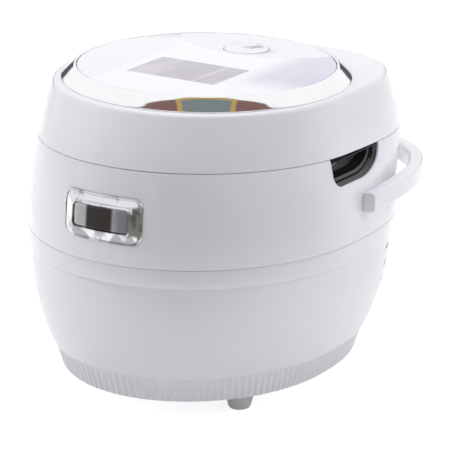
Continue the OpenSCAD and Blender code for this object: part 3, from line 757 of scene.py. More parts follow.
@dataclass(frozen=True)
class BodyForm:
    """The outer form of housing and lid, from the sizes of the CAD source."""

    half_w: float = 130.0
    front_reach: float = 143.5
    rear_reach: float = 151.0
    belly_z: float = 131.0
    seam_z: float = 188.0
    seam_fall: float = 1.7
    upper_arc: float = 220.0
    lower_arc: float = 178.0
    band_low: float = 107.5
    band_z: float = 122.0
    ledge: float = 2.0
    rib_top_z: float = 32.0
    wall: float = 2.5
    scoop: float = 3.0
    crease_z: tuple[float, float] = (162.0, 15.0)
    scoop_z: float = 126.0
    rim_z: float = 230.7
    rim_r: float = 114.5
    rim_front: float = 117.0
    rim_rear: float = 131.0
    gap: float = 0.4

    def half_width(self, z: Array) -> Array:
        """Half width at a height: arcs above the belly and below the band, straight between.

        Args:
            z: Heights.

        Returns:
            Half widths.
        """
        z = np.asarray(z, float)
        up = self.upper_arc - np.sqrt(self.upper_arc ** 2 - np.clip(z - self.belly_z, 0, None) ** 2)
        low = self.lower_arc - np.sqrt(
            self.lower_arc ** 2 - np.clip(self.band_low - z, 0, None) ** 2)
        return self.half_w - up - np.where(z < self.band_low, self.ledge + low, 0.0)

    def front_reach_at(self, z: Array) -> Array:
        """Reach of the front as the half width times a slowly changing share.

        Args:
            z: Heights.

        Returns:
            Reaches of the front.
        """
        share = np.interp(z, (self.rib_top_z, self.band_low, self.band_z, self.seam_z),
                          (1.039, 1.0, 1.0, 1.013))
        return self.half_width(z) * share * self.front_reach / self.half_w

    def rear_reach_at(self, z: Array) -> Array:
        """Reach of the rear as the half width times a slowly changing share.

        Args:
            z: Heights.

        Returns:
            Reaches of the rear.
        """
        share = np.interp(z, (self.belly_z, self.seam_z), (1.0, 1.06))
        return self.half_width(z) * share * self.rear_reach / self.half_w

    def corner(self, z: Array) -> Array:
        """How square the rear is: the exponent of its superellipse."""
        return np.interp(z, (self.band_low, self.belly_z + 20, self.seam_z), (2.45, 2.85, 3.15))

    @staticmethod
    def oval(turn: Array, w: Array, front: Array, rear: Array, n: Array) -> Array:
        """Radius of a plan: an ellipse in front, (|cos|/w)^n + (sin/rear)^n = r^-n behind.

        Args:
            turn: Directions.
            w: Half width.
            front: Reach of the front.
            rear: Reach of the rear.
            n: Exponent of the rear.

        Returns:
            Radii.
        """
        c, s = np.abs(np.cos(turn)), np.sin(turn)
        ahead = 1 / np.sqrt((c / w) ** 2 + (s / front) ** 2)
        behind = ((c / w) ** n + (np.clip(s, 0, None) / rear) ** n) ** (-1 / n)
        return np.where(s < 0, ahead, behind)

    def radius(self, turn: Array, z: Array, inset: Array = 0.0) -> Array:
        """Radius of the housing in a direction at a height, less an inset.

        Args:
            turn: Directions.
            z: Heights.
            inset: How far the wall is drawn in.

        Returns:
            Radii.
        """
        return self.oval(turn, self.half_width(z) - inset, self.front_reach_at(z) - inset,
                         self.rear_reach_at(z) - inset, self.corner(z))

    def seam(self, turn: Array) -> Array:
        """Height of the seam, which falls evenly towards the rear.

        Args:
            turn: Directions.

        Returns:
            Heights.
        """
        y = self.radius(turn, np.full_like(turn, self.seam_z)) * np.sin(turn)
        return self.seam_z - math.tan(math.radians(self.seam_fall)) * y

    def scoop_share(self, turn: Array) -> Array:
        """How far the surface behind the handle is scooped in, by direction.

        Args:
            turn: Directions.

        Returns:
            Depths.
        """
        deg = np.degrees(turn)
        return self.scoop * ease((deg - 10) / 20) * ease((170 - deg) / 20)

    def crease(self, turn: Array) -> Array:
        """Height of the crease above the scoop, by direction.

        Args:
            turn: Directions.

        Returns:
            Heights.
        """
        deg = np.degrees(turn)
        low, climb = self.crease_z
        return low + climb * ease((deg - 8) / 40) * ease((172 - deg) / 40)

    def scooped(self, turn: Array, z: Array) -> Array:
        """Depth of the scoop at a point: it fades in above the band and out at the crease.

        Args:
            turn: Directions.
            z: Heights.

        Returns:
            Depths.
        """
        fade = ease((z - self.scoop_z) / 12) * ease((self.crease(turn) - z) / 4)
        return self.scoop_share(turn) * fade

    def lid_radius(self, turn: Array, share: Array, inset: Array = 0.0) -> Array:
        """Radius of the lid from the seam (share 0) to its rim (share 1).

        Args:
            turn: Directions.
            share: Place between the seam and the rim.
            inset: How far the wall is drawn in.

        Returns:
            Radii.
        """
        z = self.seam(turn)
        w = self.half_width(z)
        k = np.clip(share, 0, None) ** 1.2
        return self.oval(turn, mix(w, self.rim_r, k) - inset,
                         mix(self.front_reach_at(z), self.rim_front, k) - inset,
                         mix(self.rear_reach_at(z), self.rim_rear, k) - inset,
                         mix(self.corner(z), 3.4, share))

    def side_x(self, y: Array, z: Array) -> Array:
        """Half width of the housing at a depth y and a height.

        Args:
            y: Depths.
            z: Heights.

        Returns:
            Half widths.
        """
        y = np.asarray(y, float)
        w = self.half_width(z)
        n = self.corner(z)
        ahead = 1 - (np.clip(-y, 0, None) / self.front_reach_at(z)) ** 2
        behind = 1 - (np.clip(y, 0, None) / self.rear_reach_at(z)) ** n
        return w * np.where(y < 0, np.sqrt(np.clip(ahead, 0, 1)), np.clip(behind, 0, 1) ** (1 / n))

    def face_y(self, x: Array, z: Array) -> Array:
        """Depth of the housing's front face at a width x and a height."""
        return -self.front_reach_at(z) * np.sqrt(1 - (x / self.half_width(z)) ** 2)


FORM = BodyForm()


# ------------------------------------------------------------------ sub-assemblies


@dataclass
class HousingShells:
    """The three white mouldings round the cooker and the bead lines between them."""

    form: BodyForm = FORM
    recess_y: tuple[float, float] = (-22.0, 49.0)
    recess_h: float = 21.5
    rear_curve: tuple[float, float] = (34.0, 22.0)
    bezel: tuple[float, float] = (67.0, 35.0)
    bezel_z: float = 155.3
    inlet: tuple[float, float, float] = (30.4, 20.4, 47.0)
    vent_turn: float = 33.0
    vent_slot: tuple[float, float] = (15.0, 2.4)
    vent_pitch: float = 13.0

    def recess_path(self, grow: float = 0.0, steps: int = 20) -> Array:
        """Open D-shaped outline (y, z) of the finger recess, down one side and up the other.

        Args:
            grow: How far the outline is moved outwards.
            steps: Points on each corner.

        Returns:
            Points: a quarter circle in front and a quarter ellipse behind, joined by lines.
        """
        top, low = self.form.seam_z + 30.0, self.form.seam_z - self.recess_h
        a, b = np.linspace(np.pi, 1.5 * np.pi, steps), np.linspace(1.5 * np.pi, 2 * np.pi, steps)
        wide, tall = self.rear_curve
        front = np.column_stack([self.recess_y[0] + 10 + (10 + grow) * np.cos(a),
                                 low + 10 + (10 + grow) * np.sin(a)])
        rear = np.column_stack([self.recess_y[1] - wide + (wide + grow) * np.cos(b),
                                low + tall + (tall + grow) * np.sin(b)])
        return np.concatenate([[[front[0, 0], top]], front, rear, [[rear[-1, 0], top]]])

    def recess_tool(self, side: int) -> bpy.types.Object:
        """A prism through one side wall, to cut the finger recess.

        Args:
            side: 1 for the right, -1 for the left.

        Returns:
            The prism.
        """
        outline = self.recess_path()
        loops = np.stack([np.column_stack([np.full(len(outline), side * x), outline])
                          for x in (90.0, 150.0)])
        return capped(loops)

    def upper(self) -> None:
        """Upper shell: rows climb from the band to the crease and on to the seam."""
        form = self.form
        crease = form.crease(TURN)
        seam = form.seam(TURN)
        rise = np.linspace(0, 1, 26)[:, None]
        low = form.band_z + (crease - 4 - form.band_z) * rise
        step = crease - np.array([3.2, 2.4, 1.6, 0.9, 0.4, 0.0])[:, None]
        high = crease + (seam - 0.7 - crease) * np.linspace(0, 1, 18)[1:, None]
        z = np.concatenate([low, step, high])
        outer = spin(form.radius(TURN, z, form.scooped(TURN, z)), TURN, z)
        lip = np.array([[0.04, 0.42], [0.16, 0.18], [0.36, 0.05], [0.62, 0.0],
                        [form.wall, 0.0]])
        top = np.stack([spin(form.radius(TURN, seam - d, i), TURN, seam - d) for i, d in lip])
        foot = np.array([[0.5, 0.0], [0.12, 0.12], [0.0, 0.5]])
        base = np.stack([spin(form.radius(TURN, form.band_z + d, i), TURN, form.band_z + d)
                         for i, d in foot])
        zi = form.band_z + (seam - 1 - form.band_z) * np.linspace(1, 0, 16)[:, None]
        inner = spin(form.radius(TURN, zi, form.wall + form.scooped(TURN, zi)), TURN, zi)
        shell = Surface().skin(np.concatenate([base, outer[1:], top, inner]), closed=True)
        piece = shell.build("upper_shell_skin")
        window = ReleaseButton().outline(self.bezel, 8.0, 0.12)
        loops = np.stack([np.column_stack([window[:, 0], np.full(len(window), y),
                                           window[:, 1] + self.bezel_z]) for y in (-100.0, -160.0)])
        opening = capped(loops)
        cut(piece, opening, self.recess_tool(1), self.recess_tool(-1))
        dress(piece, Finishes.SHELL, "housing", "upper_shell")

    def band(self) -> None:
        """Waist band: a straight wall with softened edges."""
        form = self.form
        rows = np.array([
            [form.wall + 1.5, form.band_low], [0.5, form.band_low], [0.14, form.band_low + 0.14],
            [0.0, form.band_low + 0.5], [0.0, form.band_low + 5], [0.0, form.band_z - 5],
            [0.0, form.band_z - 1.5], [0.1, form.band_z - 1.1], [0.35, form.band_z - 0.85],
            [0.8, form.band_z - 0.75], [0.8, form.band_z], [form.wall + 1.5, form.band_z]])
        loops = np.stack([spin(form.radius(TURN, np.full_like(TURN, min(z, form.band_z)), i),
                               TURN, z) for i, z in rows])
        dress(Surface().skin(loops, closed=True).build("waist_band_skin"), Finishes.SHELL,
              "housing", "waist_band")

    def lower(self) -> None:
        """Lower shell: a wall that curves in towards the ribbed base, with vents and inlet."""
        form = self.form
        edge = form.band_low - 0.01
        z = np.linspace(form.rib_top_z + 1.2, edge, 30)[:, None]
        outer = spin(form.radius(TURN, z), TURN, z)
        foot = np.array([[form.wall + 4.5, 0.0], [1.3, 0.0], [0.7, 0.08],
                         [0.3, 0.35], [0.08, 0.75]])
        base = np.stack([spin(form.radius(TURN, np.full_like(TURN, form.rib_top_z + d), i), TURN,
                              form.rib_top_z + d) for i, d in foot])
        zi = np.linspace(edge, form.rib_top_z + form.wall, 16)[:, None]
        inner = spin(form.radius(TURN, zi, form.wall), TURN, zi)
        close = spin(form.radius(TURN, np.full_like(TURN, form.rib_top_z + form.wall),
                                 form.wall + 4.5), TURN, form.rib_top_z + form.wall)[None]
        piece = Surface().skin(np.concatenate([base, outer, inner, close]),
                               closed=True).build("lower_shell_skin")
        w, h, z0 = self.inlet
        cut(piece, box_solid((-w / 2, 100, z0 - h / 2), (w / 2, 180, z0 + h / 2)),
            *[self.vent_tool(side, k) for side in (1, -1) for k in range(3)])
        dress(piece, Finishes.SHELL_LOW, "housing", "lower_shell")

    def vent_tool(self, side: int, step: int) -> bpy.types.Object:
        """A rounded bar through the wall behind the widest line, to cut a cooling slot.

        Args:
            side: 1 for the right, -1 for the left.
            step: Which slot, from the top.

        Returns:
            The bar.
        """
        long, high = self.vent_slot
        turn = np.linspace(0, 2 * np.pi, 24, endpoint=False)
        y = np.sign(np.cos(turn)) * (long - high) / 2 + np.cos(turn) * high / 2
        z = self.form.band_low - 10 - step * self.vent_pitch + np.sin(turn) * high / 2
        a = math.radians(self.vent_turn)
        loops = np.stack([np.column_stack([side * (x * math.cos(a) - y * math.sin(a)),
                                           x * math.sin(a) + y * math.cos(a), z])
                          for x in (100.0, 160.0)])
        return capped(loops)

    def build(self) -> None:
        """Builds the three shells."""
        self.upper()
        self.band()
        self.lower()


@dataclass
class RibbedBase:
    """The fluted wall of the base and the four feet."""

    form: BodyForm = FORM
    base_z: float = 12.0
    lean: float = 6.5
    inset: float = 0.7
    ribs: int = 136
    depth: float = 1.55
    foot_r: float = 9.0
    foot_top: float = 11.2
    foot_place: tuple[float, float] = (71.0, 64.0)

    def flutes(self) -> None:
        """Fluted wall: the radius dips by depth times a power of the cosine of ribs x angle."""
        form = self.form
        turn = np.linspace(0, 2 * np.pi, self.ribs * 10, endpoint=False)
        dip = 0.5 - 0.5 * np.cos(self.ribs * turn)
        top = form.rib_top_z - 0.02
        rows = [(top, 3.0, 0.0), (top, 0.0, 0.35), (top - 1.2, 0.0, 1.0),
                (self.base_z + 3.5, 0.0, 1.0),
                (self.base_z + 1.8, 0.1, 0.8), (self.base_z + 0.7, 0.5, 0.4),
                (self.base_z + 0.15, 1.3, 0.1), (self.base_z, 2.4, 0.0), (self.base_z, 6.0, 0.0),
                (self.base_z + 2.0, 6.0, 0.0), (top - 2.0, 3.0, 0.0)]
        loops = np.stack([spin(form.radius(turn, np.full_like(turn, form.rib_top_z),
                                           self.inset + self.lean * (form.rib_top_z - z)
                                           / (form.rib_top_z - self.base_z) + edge)
                               - self.depth * share * dip, turn, z) for z, edge, share in rows])
        piece = Surface().skin(loops, closed=True).build("rib_wall", 50.0)
        dress(piece, Finishes.SHELL_LOW, "housing")

    def feet(self) -> None:
        """Feet: a rounded cone turned about each foot's middle."""
        r, h = self.foot_r, self.base_z
        outline = rounded(np.array([[0.01, 0.0], [r - 1.6, 0.0], [r - 0.6, 1.6],
                                    [self.foot_top, h - 0.2], [self.foot_top, h], [0.01, h]]),
                          np.array([0, 1.4, 1.2, 0.5, 0.3, 0]))
        surface = Surface()
        for x in (-1, 1):
            for y in (-1, 1):
                one = revolve(outline, 64, (x * self.foot_place[0], y * self.foot_place[1]))
                surface.points += one.points
                surface.quads += [q + surface.total for q in one.quads]
                surface.total += one.total
        dress(surface.build("feet"), Finishes.RUBBER, "housing", "rubber_feet")

    def build(self) -> None:
        """Builds the base's wall and feet."""
        self.flutes()
        self.feet()


@dataclass
class FingerRecess:
    """The black stepped pocket and the soft white edge of each finger recess."""

    shells: HousingShells = field(default_factory=HousingShells)
    bead: float = 1.3
    back_x: float = 111.0
    skin: float = 0.5
    depth_y: float = 125.0

    def pocket(self, side: int) -> None:
        """Stepped pocket: D-shaped loops that shrink as they go in.

        Args:
            side: 1 for the right, -1 for the left.
        """
        form = self.shells.form
        ceiling = form.seam_z - 2.8
        depths = [(0.7, -0.1), (2.2, -0.3), (3.0, -0.9), (3.3, -2.2), (3.6, -2.7), (6.4, -3.1),
                  (7.0, -3.6), (7.2, -4.8), (7.5, -5.3), (10.0, -5.7), (11.0, -6.2), (11.6, -7.4)]
        loops = []
        for depth, grow in depths:
            path = self.shells.recess_path(grow)
            path[[0, -1], 1] = ceiling
            rim = form.side_x(path[:, 0], path[:, 1]) - form.scooped(
                np.arctan2(path[:, 0], self.depth_y), path[:, 1])
            x = np.maximum(rim - depth, self.back_x + 0.4)
            x = np.minimum(x, rim[len(rim) // 2] - depth * 0.98 + 1.0)
            loops.append(np.column_stack([side * x, path]))
        back = loops[-1].copy()
        back[:, 0] = side * (self.back_x + 0.1)
        loops = np.stack(loops + [back])
        name = "pocket_r" if side > 0 else "pocket_l"
        piece = Surface().skin(loops, cap_last=True).build(name, 60.0)
        wall = piece.modifiers.new("wall", "SOLIDIFY")
        wall.thickness, wall.offset = 0.001 * self.skin, -1.0
        dress(piece, Finishes.BLACK, "housing", "pocket_right" if side > 0 else "pocket_left")

    def edge(self, side: int) -> None:
        """Soft edge: a bead along the opening, its middle just under the housing's surface.

        Args:
            side: 1 for the right, -1 for the left.
        """
        form = self.shells.form
        path = self.shells.recess_path(0.55, 28)
        turn = np.arctan2(path[:, 0], self.depth_y)
        path[[0, -1], 1] = form.seam(turn[[0, -1]]) - 0.5
        full = np.concatenate([np.linspace(path[0], path[1], 14)[:-1], path[1:-1],
                               np.linspace(path[-2], path[-1], 14)[1:]])
        rim = form.side_x(full[:, 0], full[:, 1]) - form.scooped(
            np.arctan2(full[:, 0], self.depth_y), full[:, 1])
        line = np.column_stack([side * (rim - self.bead + 0.22), full])
        piece = tube(line, self.bead, 14).build(f"recess_edge_{'r' if side > 0 else 'l'}")
        dress(piece, Finishes.SHELL, "housing")

    def build(self) -> None:
        """Builds both recesses."""
        for side in (1, -1):
            self.pocket(side)
            self.edge(side)


@dataclass
class RearHandle:
    """The fixed loop handle round the rear."""

    form: BodyForm = FORM
    half_w: float = 138.5
    reach: float = 177.0
    thick: float = 12.0
    low: float = 141.5
    high: float = 157.0
    start: float = 6.0
    corner: float = 3.2

    def build(self) -> None:
        """Sweeps a rounded section along a superellipse, |x/a|^3 + |y/b|^3 = 1, with blunt ends."""
        form = self.form
        lead = np.array([0.0, 0.05, 0.18, 0.4, 0.75])
        ends = np.radians(self.start + lead)
        turn = np.concatenate([ends, np.linspace(ends[-1], np.pi - ends[-1], 220)[1:-1],
                               np.pi - ends[::-1]])
        shrink = np.array([1.6, 0.95, 0.4, 0.1, 0.0])
        pull = np.concatenate([shrink, np.zeros(218), shrink[::-1]])
        outer = form.oval(turn, self.half_w, self.half_w, self.reach, 3.0)
        middle = np.full_like(turn, (self.low + self.high) / 2)
        body = form.radius(turn, middle) - form.scooped(turn, middle) * 0.9
        inner = np.maximum(outer - self.thick, body - 0.6)
        phi = np.linspace(0, 2 * np.pi, 48, endpoint=False)
        half_u = (outer - inner)[:, None] / 2 - pull[:, None]
        half_z = (self.high - self.low) / 2 - pull[:, None]
        r = np.minimum(self.corner, half_u * 0.7)
        u = (outer + inner)[:, None] / 2 + np.sign(np.cos(phi)) * (half_u - r) + r * np.cos(phi)
        z = middle[:, None] + np.sign(np.sin(phi)) * (half_z - r) + r * np.sin(phi)
        loops = np.stack([u * np.cos(turn)[:, None], u * np.sin(turn)[:, None], z], -1)
        piece = capped(loops, "handle_loop")
        dress(piece, Finishes.SHELL, "housing", "rear_handle")


@dataclass
class ReleaseButton:
    """The chrome frame on the front and the button inside it."""

    form: BodyForm = FORM
    frame_size: tuple[float, float] = (67.0, 35.0)
    frame_corner: float = 8.0
    face_size: tuple[float, float] = (47.0, 17.0)
    face_corner: float = 2.6
    middle_z: float = 155.3
    rise: float = 3.0

    @staticmethod
    def outline(size: tuple[float, float], corner: float, grow: float) -> Array:
        """Rounded rectangle (x, z) about its middle, with points along its sides too.

        Args:
            size: Width and height.
            corner: Corner radius.
            grow: How far the outline is moved outwards.

        Returns:
            Points round the outline.
        """
        a, b, c = size[0] / 2 - corner, size[1] / 2 - corner, corner + grow
        points = []
        for quarter, (sx, sz) in enumerate(((1, 1), (-1, 1), (-1, -1), (1, -1))):
            t = np.radians(np.linspace(quarter * 90, quarter * 90 + 90, 13))
            points.append(np.column_stack([sx * a + c * np.cos(t), sz * b + c * np.sin(t)]))
            ahead = ((-1, 1), (-1, -1), (1, -1), (1, 1))[quarter]
            t1 = math.radians(quarter * 90 + 90)
            stop = np.array([ahead[0] * a + c * math.cos(t1), ahead[1] * b + c * math.sin(t1)])
            points.append(np.linspace(points[-1][-1], stop, 14)[1:-1])
        return np.concatenate(points)

    def loop(self, size: tuple[float, float], corner: float, grow: float, rise: float,
             scale: float = 1.0) -> Array:
        """An outline laid on the housing's front and raised from it.

        Args:
            size: Width and height.
            corner: Corner radius.
            grow: How far the outline is moved outwards.
            rise: How far it stands out from the front.
            scale: Share of its size.

        Returns:
            Points round the outline.
        """
        p = self.outline(size, corner, grow) * scale
        z = self.middle_z + p[:, 1]
        return np.column_stack([p[:, 0], self.form.face_y(p[:, 0], z) - rise, z])

    def frame_piece(self) -> None:
        """Chrome frame: a rolled outer edge, then a slope that climbs to the inner edge."""
        outer, inner = self.frame_size, self.face_size
        rows = [(outer, self.frame_corner, -0.05, -2.4), (outer, self.frame_corner, -0.05, 0.35),
                (outer, self.frame_corner, -0.25, 0.85), (outer, self.frame_corner, -0.65, 1.1),
                (outer, self.frame_corner, -1.15, 1.0), (outer, self.frame_corner, -1.6, 0.75)]
        loops = [self.loop(*row) for row in rows]
        start = self.loop(outer, self.frame_corner, -2.0, 0.7)
        stop = self.loop(inner, self.face_corner, 1.5, self.rise - 0.25)
        for share in np.linspace(0, 1, 7):
            bulge = 0.45 * math.sin(math.pi * share)
            loops.append(start + (stop - start) * share - (0, bulge, 0))
        loops += [self.loop(inner, self.face_corner, 1.1, self.rise),
                  self.loop(inner, self.face_corner, 0.7, self.rise),
                  self.loop(inner, self.face_corner, 0.35, self.rise - 0.35),
                  self.loop(inner, self.face_corner, 0.25, self.rise - 1.0),
                  self.loop(inner, self.face_corner, 0.25, -2.4)]
        piece = Surface().skin(np.stack(loops), closed=True).build("button_frame", 40.0)
        dress(piece, Finishes.CHROME, "housing", "button_bezel")

    def face_piece(self) -> None:
        """Button: a face that follows the front with a rolled edge, and its skirt and stem."""
        size, corner = self.face_size, self.face_corner
        rows = [(-0.1, -5.0), (-0.1, self.rise - 2.1), (-0.25, self.rise - 1.6),
                (-0.7, self.rise - 1.3), (-1.3, self.rise - 1.2)]
        loops = [self.loop(size, corner, grow, rise) for grow, rise in rows]
        loops += [self.loop(size, corner, -1.3, self.rise - 1.2, k)
                  for k in (0.9, 0.75, 0.55, 0.35, 0.15, 0.03)]
        piece = capped(np.stack(loops), "button_face")
        # the button face's colour holds painted reflections
        look = ButtonPaintedReflection("button_painted_reflection", (0.86, 0.86, 0.87), 0.10, "chrome")
        dress(piece, look, "button", "release_button")

    def stem_piece(self) -> None:
        """Stem: the CAD button with its front drawn back inside the new face."""
        piece = CarriedPart("release_button", Finishes.CHROME, "button").copy()
        count = len(piece.data.vertices)
        flat = np.empty(count * 3)
        piece.data.vertices.foreach_get("co", flat)
        at = flat.reshape(-1, 3)
        x, z = at[:, 0] * 1000, at[:, 2] * 1000
        front = self.form.face_y(x, z) - self.rise + 3.0
        at[:, 1] = np.maximum(at[:, 1], (front + AXIS_Y) * 0.001)
        piece.data.vertices.foreach_set("co", at.ravel())
        piece.data.update()
        dress(piece, Finishes.CHROME, "button")

    def build(self) -> None:
        """Builds the frame and the button."""
        self.frame_piece()
        self.face_piece()
        self.stem_piece()


@dataclass(frozen=True)
class ButtonPaintedReflection(Finish):
    """The button's smoked mirror with painted reflections: dark in the middle, bright towards its ends
    and edges.
    """

    def shade(self, graph: Graph) -> dict[str, object]:
        """The painted dark reflection in the middle is a product of smooth steps along x, broken by soft
        streaks.

        Args:
            graph: The material's nodes.

        Returns:
            The inputs of the main shader.
        """
        at = graph.place()
        x, _, z = graph.parts(at)
        soft = graph.noise(graph.stretched(at, 1.0, 0.1, 0.25), 110.0, 2.0)
        # painted reflections: a dark band across the middle and paler grey towards the ends, in place of
        # a mirrored surrounding
        dark = (x + (soft - 0.5) * 0.004).ramp(-0.0135, -0.0105) * x.ramp(0.0125, 0.0095)
        painted_bright_ends = (x + (soft - 0.5) * 0.006).ramp(0.0085, 0.0175)
        tone = graph.blend(painted_bright_ends, (0.62, 0.62, 0.65), (0.30, 0.30, 0.33))
        return {
            "Base Color": graph.blend(dark * 0.96, tone, (0.035, 0.026, 0.024)),
            "Metallic": 0.2,
            "Roughness": self.roughness + soft * 0.03,
        }


@dataclass
class LidShell:
    """The white lid: a domed wall that rises from the seam to a flat deck round the ring."""

    form: BodyForm = FORM
    opening_r: float = 104.0
    wall: float = 2.5
    notch_half: float = 49.4
    notch_y: float = 138.0
    hinge: tuple[float, float, float] = (148.0, 196.0, 10.2)
    notch_top: float = 207.0

    def build(self) -> None:
        """Rows climb from the rounded seam edge over the wall to the rounded rim and the deck."""
        form = self.form
        seam = form.seam(TURN) + form.gap
        flat = np.full_like(TURN, form.rim_z)
        edge = [(self.wall, 0.0), (0.62, 0.0), (0.36, 0.05),
                (0.16, 0.18), (0.04, 0.42), (0.0, 0.8)]
        loops = [spin(form.lid_radius(TURN, np.zeros_like(TURN), i), TURN, seam + d)
                 for i, d in edge]
        for share in np.linspace(0.035, 0.93, 24):
            s = np.full_like(TURN, share)
            loops.append(spin(form.lid_radius(TURN, s), TURN, seam + (flat - seam) * s))
        s = np.full_like(TURN, 0.93)
        start_r, start_z = form.lid_radius(TURN, s), seam + (flat - seam) * 0.93
        corner_r = form.lid_radius(TURN, np.ones_like(TURN))
        stop_r = corner_r - 3.0
        for u in np.linspace(0.12, 1.0, 9):
            r = (1 - u) ** 2 * start_r + 2 * u * (1 - u) * corner_r + u ** 2 * stop_r
            z = (1 - u) ** 2 * start_z + (1 - (1 - u) ** 2) * flat
            loops.append(spin(r, TURN, z))
        deck = np.full_like(TURN, self.opening_r)
        for share in (0.35, 0.7, 1.0):
            loops.append(spin(stop_r + (deck - stop_r) * share, TURN, flat))
        loops.append(spin(deck, TURN, flat - self.wall))
        for share in (0.93, 0.6, 0.3, 0.06):
            s = np.full_like(TURN, share)
            loops.append(spin(form.lid_radius(TURN, s, self.wall), TURN,
                              seam + (flat - self.wall - seam) * s))
        piece = Surface().skin(np.stack(loops), closed=True).build("lid_skin")
        y, z, r = self.hinge
        turn = np.linspace(0, 2 * np.pi, 48, endpoint=False)
        barrel = np.stack([np.column_stack([np.full(48, x), y + r * np.cos(turn),
                                            z + r * np.sin(turn)])
                           for x in (-self.notch_half, self.notch_half)])
        round_cut = capped(barrel)
        cut(piece, box_solid((-self.notch_half, self.notch_y, 170.0),
                             (self.notch_half, 200.0, self.notch_top)), round_cut)
        dress(piece, Finishes.SHELL, "lid", "lid_shell")


@dataclass
class ControlPanel:
    """The chrome ring, the glossy panel inside it and the white vent cover behind."""

    form: BodyForm = FORM
    ring_in: float = 98.8
    crown: float = 240.4
    panel_r: float = 97.6
    panel_top: float = 240.0
    panel_low: float = 237.8
    vent_y: float = 57.0
    cover_arc: float = 85.0
    cover_front: float = 20.5
    cover_gap: float = 0.15
    cap_hole: float = 17.6

    def ring(self) -> None:
        """Chrome ring: its outline is rounded and turned about the pot's axis."""
        outline = np.array([[109.5, 230.75], [109.5, 231.35], [108.8, 232.1], [104.15, 236.6],
                            [99.7, 240.3], [98.8, 240.4], [97.9, 240.2], [97.9, 229.7],
                            [103.7, 229.7], [103.7, 230.75]])
        radii = np.array([0.3, 0.5, 2.2, 4.0, 0.7, 0.4, 0.4, 0.2, 0.2, 0.2])
        piece = revolve(rounded(outline, radii, 8), STEPS).build("ring_skin")
        dress(piece, Finishes.RING, "lid", "chrome_ring")

    def edge_of_cover(self, turn: Array, gap: float) -> Array:
        """Distance from the vent's middle to the edge of the cover, by direction.

        The edge is the nearer of the panel's circle and the circle of the cover's front.

        Args:
            turn: Directions about the vent's middle.
            gap: How far the edge is drawn in.

        Returns:
            Distances.
        """
        c, s = np.cos(turn), np.sin(turn)

        def reach(y0: float, r: float) -> Array:
            """Distance along each direction to a circle whose middle is y0 away."""
            b = -s * y0
            return -b + np.sqrt(b * b - (y0 * y0 - r * r))

        panel = reach(-self.vent_y, self.panel_r - gap)
        front = reach(self.cover_arc - self.cover_front, self.cover_arc - gap)
        return np.minimum(panel, front)

    def directions(self) -> Array:
        """Directions about the vent's middle, with one at each tip of the cover.

        Returns:
            Angles in rising order.
        """
        turn = np.linspace(0, 2 * np.pi, 7200, endpoint=False)
        ahead = self.edge_of_cover(turn, 0.0) * np.sin(turn) + self.vent_y
        across = self.edge_of_cover(turn, 0.0) * np.cos(turn)
        on_rim = np.hypot(across, ahead) > self.panel_r - 1e-6
        tips = turn[on_rim != np.roll(on_rim, 1)]
        return np.sort(np.concatenate([turn[::30], tips]))

    def panel(self) -> None:
        """Panel: a rounded disc with the cover's place cut out of it."""
        r, top, low = self.panel_r, self.panel_top, self.panel_low
        outline = rounded(np.array([[0.02, low], [r, low], [r, top], [0.02, top]]),
                          np.array([0, 0.3, 0.8, 0]), 6)
        piece = revolve(outline, 240).build("panel_skin")
        turn = self.directions()
        reach = self.edge_of_cover(turn, 0.0)
        away = np.hypot(reach * np.cos(turn), reach * np.sin(turn) + self.vent_y)
        inner = np.where(away > r - 1e-6, reach * 1.15, reach)
        loops = np.stack([spin(inner, turn, z) + (0, self.vent_y, 0) for z in (low - 2, top + 2)])
        cut(piece, capped(loops))
        look = MirrorPanel("panel_mirror", (0.92, 0.91, 0.97), 0.03, "panel",
                           centre_y=AXIS_Y * 0.001)
        dress(piece, look, "lid", "top_panel")

    def cover(self) -> None:
        """Vent cover: a plate whose loops blend the cap's circle into the cover's outline."""
        turn = self.directions()
        top, low = self.panel_top + 0.05, self.panel_low
        gap = self.cover_gap
        rows = [(self.cap_hole, low), (self.cap_hole, top - 0.5),
                (self.cap_hole + 0.15, top - 0.15), (self.cap_hole + 0.5, top)]
        loops = [spin(np.full_like(turn, r), turn, z) for r, z in rows]
        for share in (0.25, 0.5, 0.75, 1.0):
            far = self.edge_of_cover(turn, gap + 0.3)
            loops.append(spin(rows[-1][0] + (far - rows[-1][0]) * share, turn, top))
        for inset, drop in ((0.12, 0.01), (0.04, 0.05), (0.0, 0.12)):
            loops.append(spin(self.edge_of_cover(turn, gap + inset), turn, top - drop))
        loops.append(spin(self.edge_of_cover(turn, gap), turn, low))
        ring = np.stack(loops) + (0, self.vent_y, 0)
        piece = Surface().skin(ring, closed=True).build("cover_skin")
        dress(piece, Finishes.SHELL, "lid", "vent_cover")

    def build(self) -> None:
        """Builds ring, panel and cover."""
        self.ring()
        self.panel()
        self.cover()


@dataclass
class CarriedPart:
    """A node of the CAD that keeps its shape and takes a finish as a smooth copy."""

    node: str
    finish: Finishes
    body: str = "housing"
    sharp: float = 32.0

    def copy(self) -> bpy.types.Object:
        """Copies the node's mesh, merges its doubles and smooths it.

        Returns:
            The copy.
        """
        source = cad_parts[self.node]
        mesh = source.data.copy()
        mesh.transform(source.matrix_world)
        mesh.name = f"{self.node}_skin"
        piece = linked(mesh.name, mesh)
        settle(piece, self.sharp)
        return piece

    def build(self) -> None:
        """Dresses a smooth copy that stands for the node."""
        dress(self.copy(), self.finish, self.body, self.node)


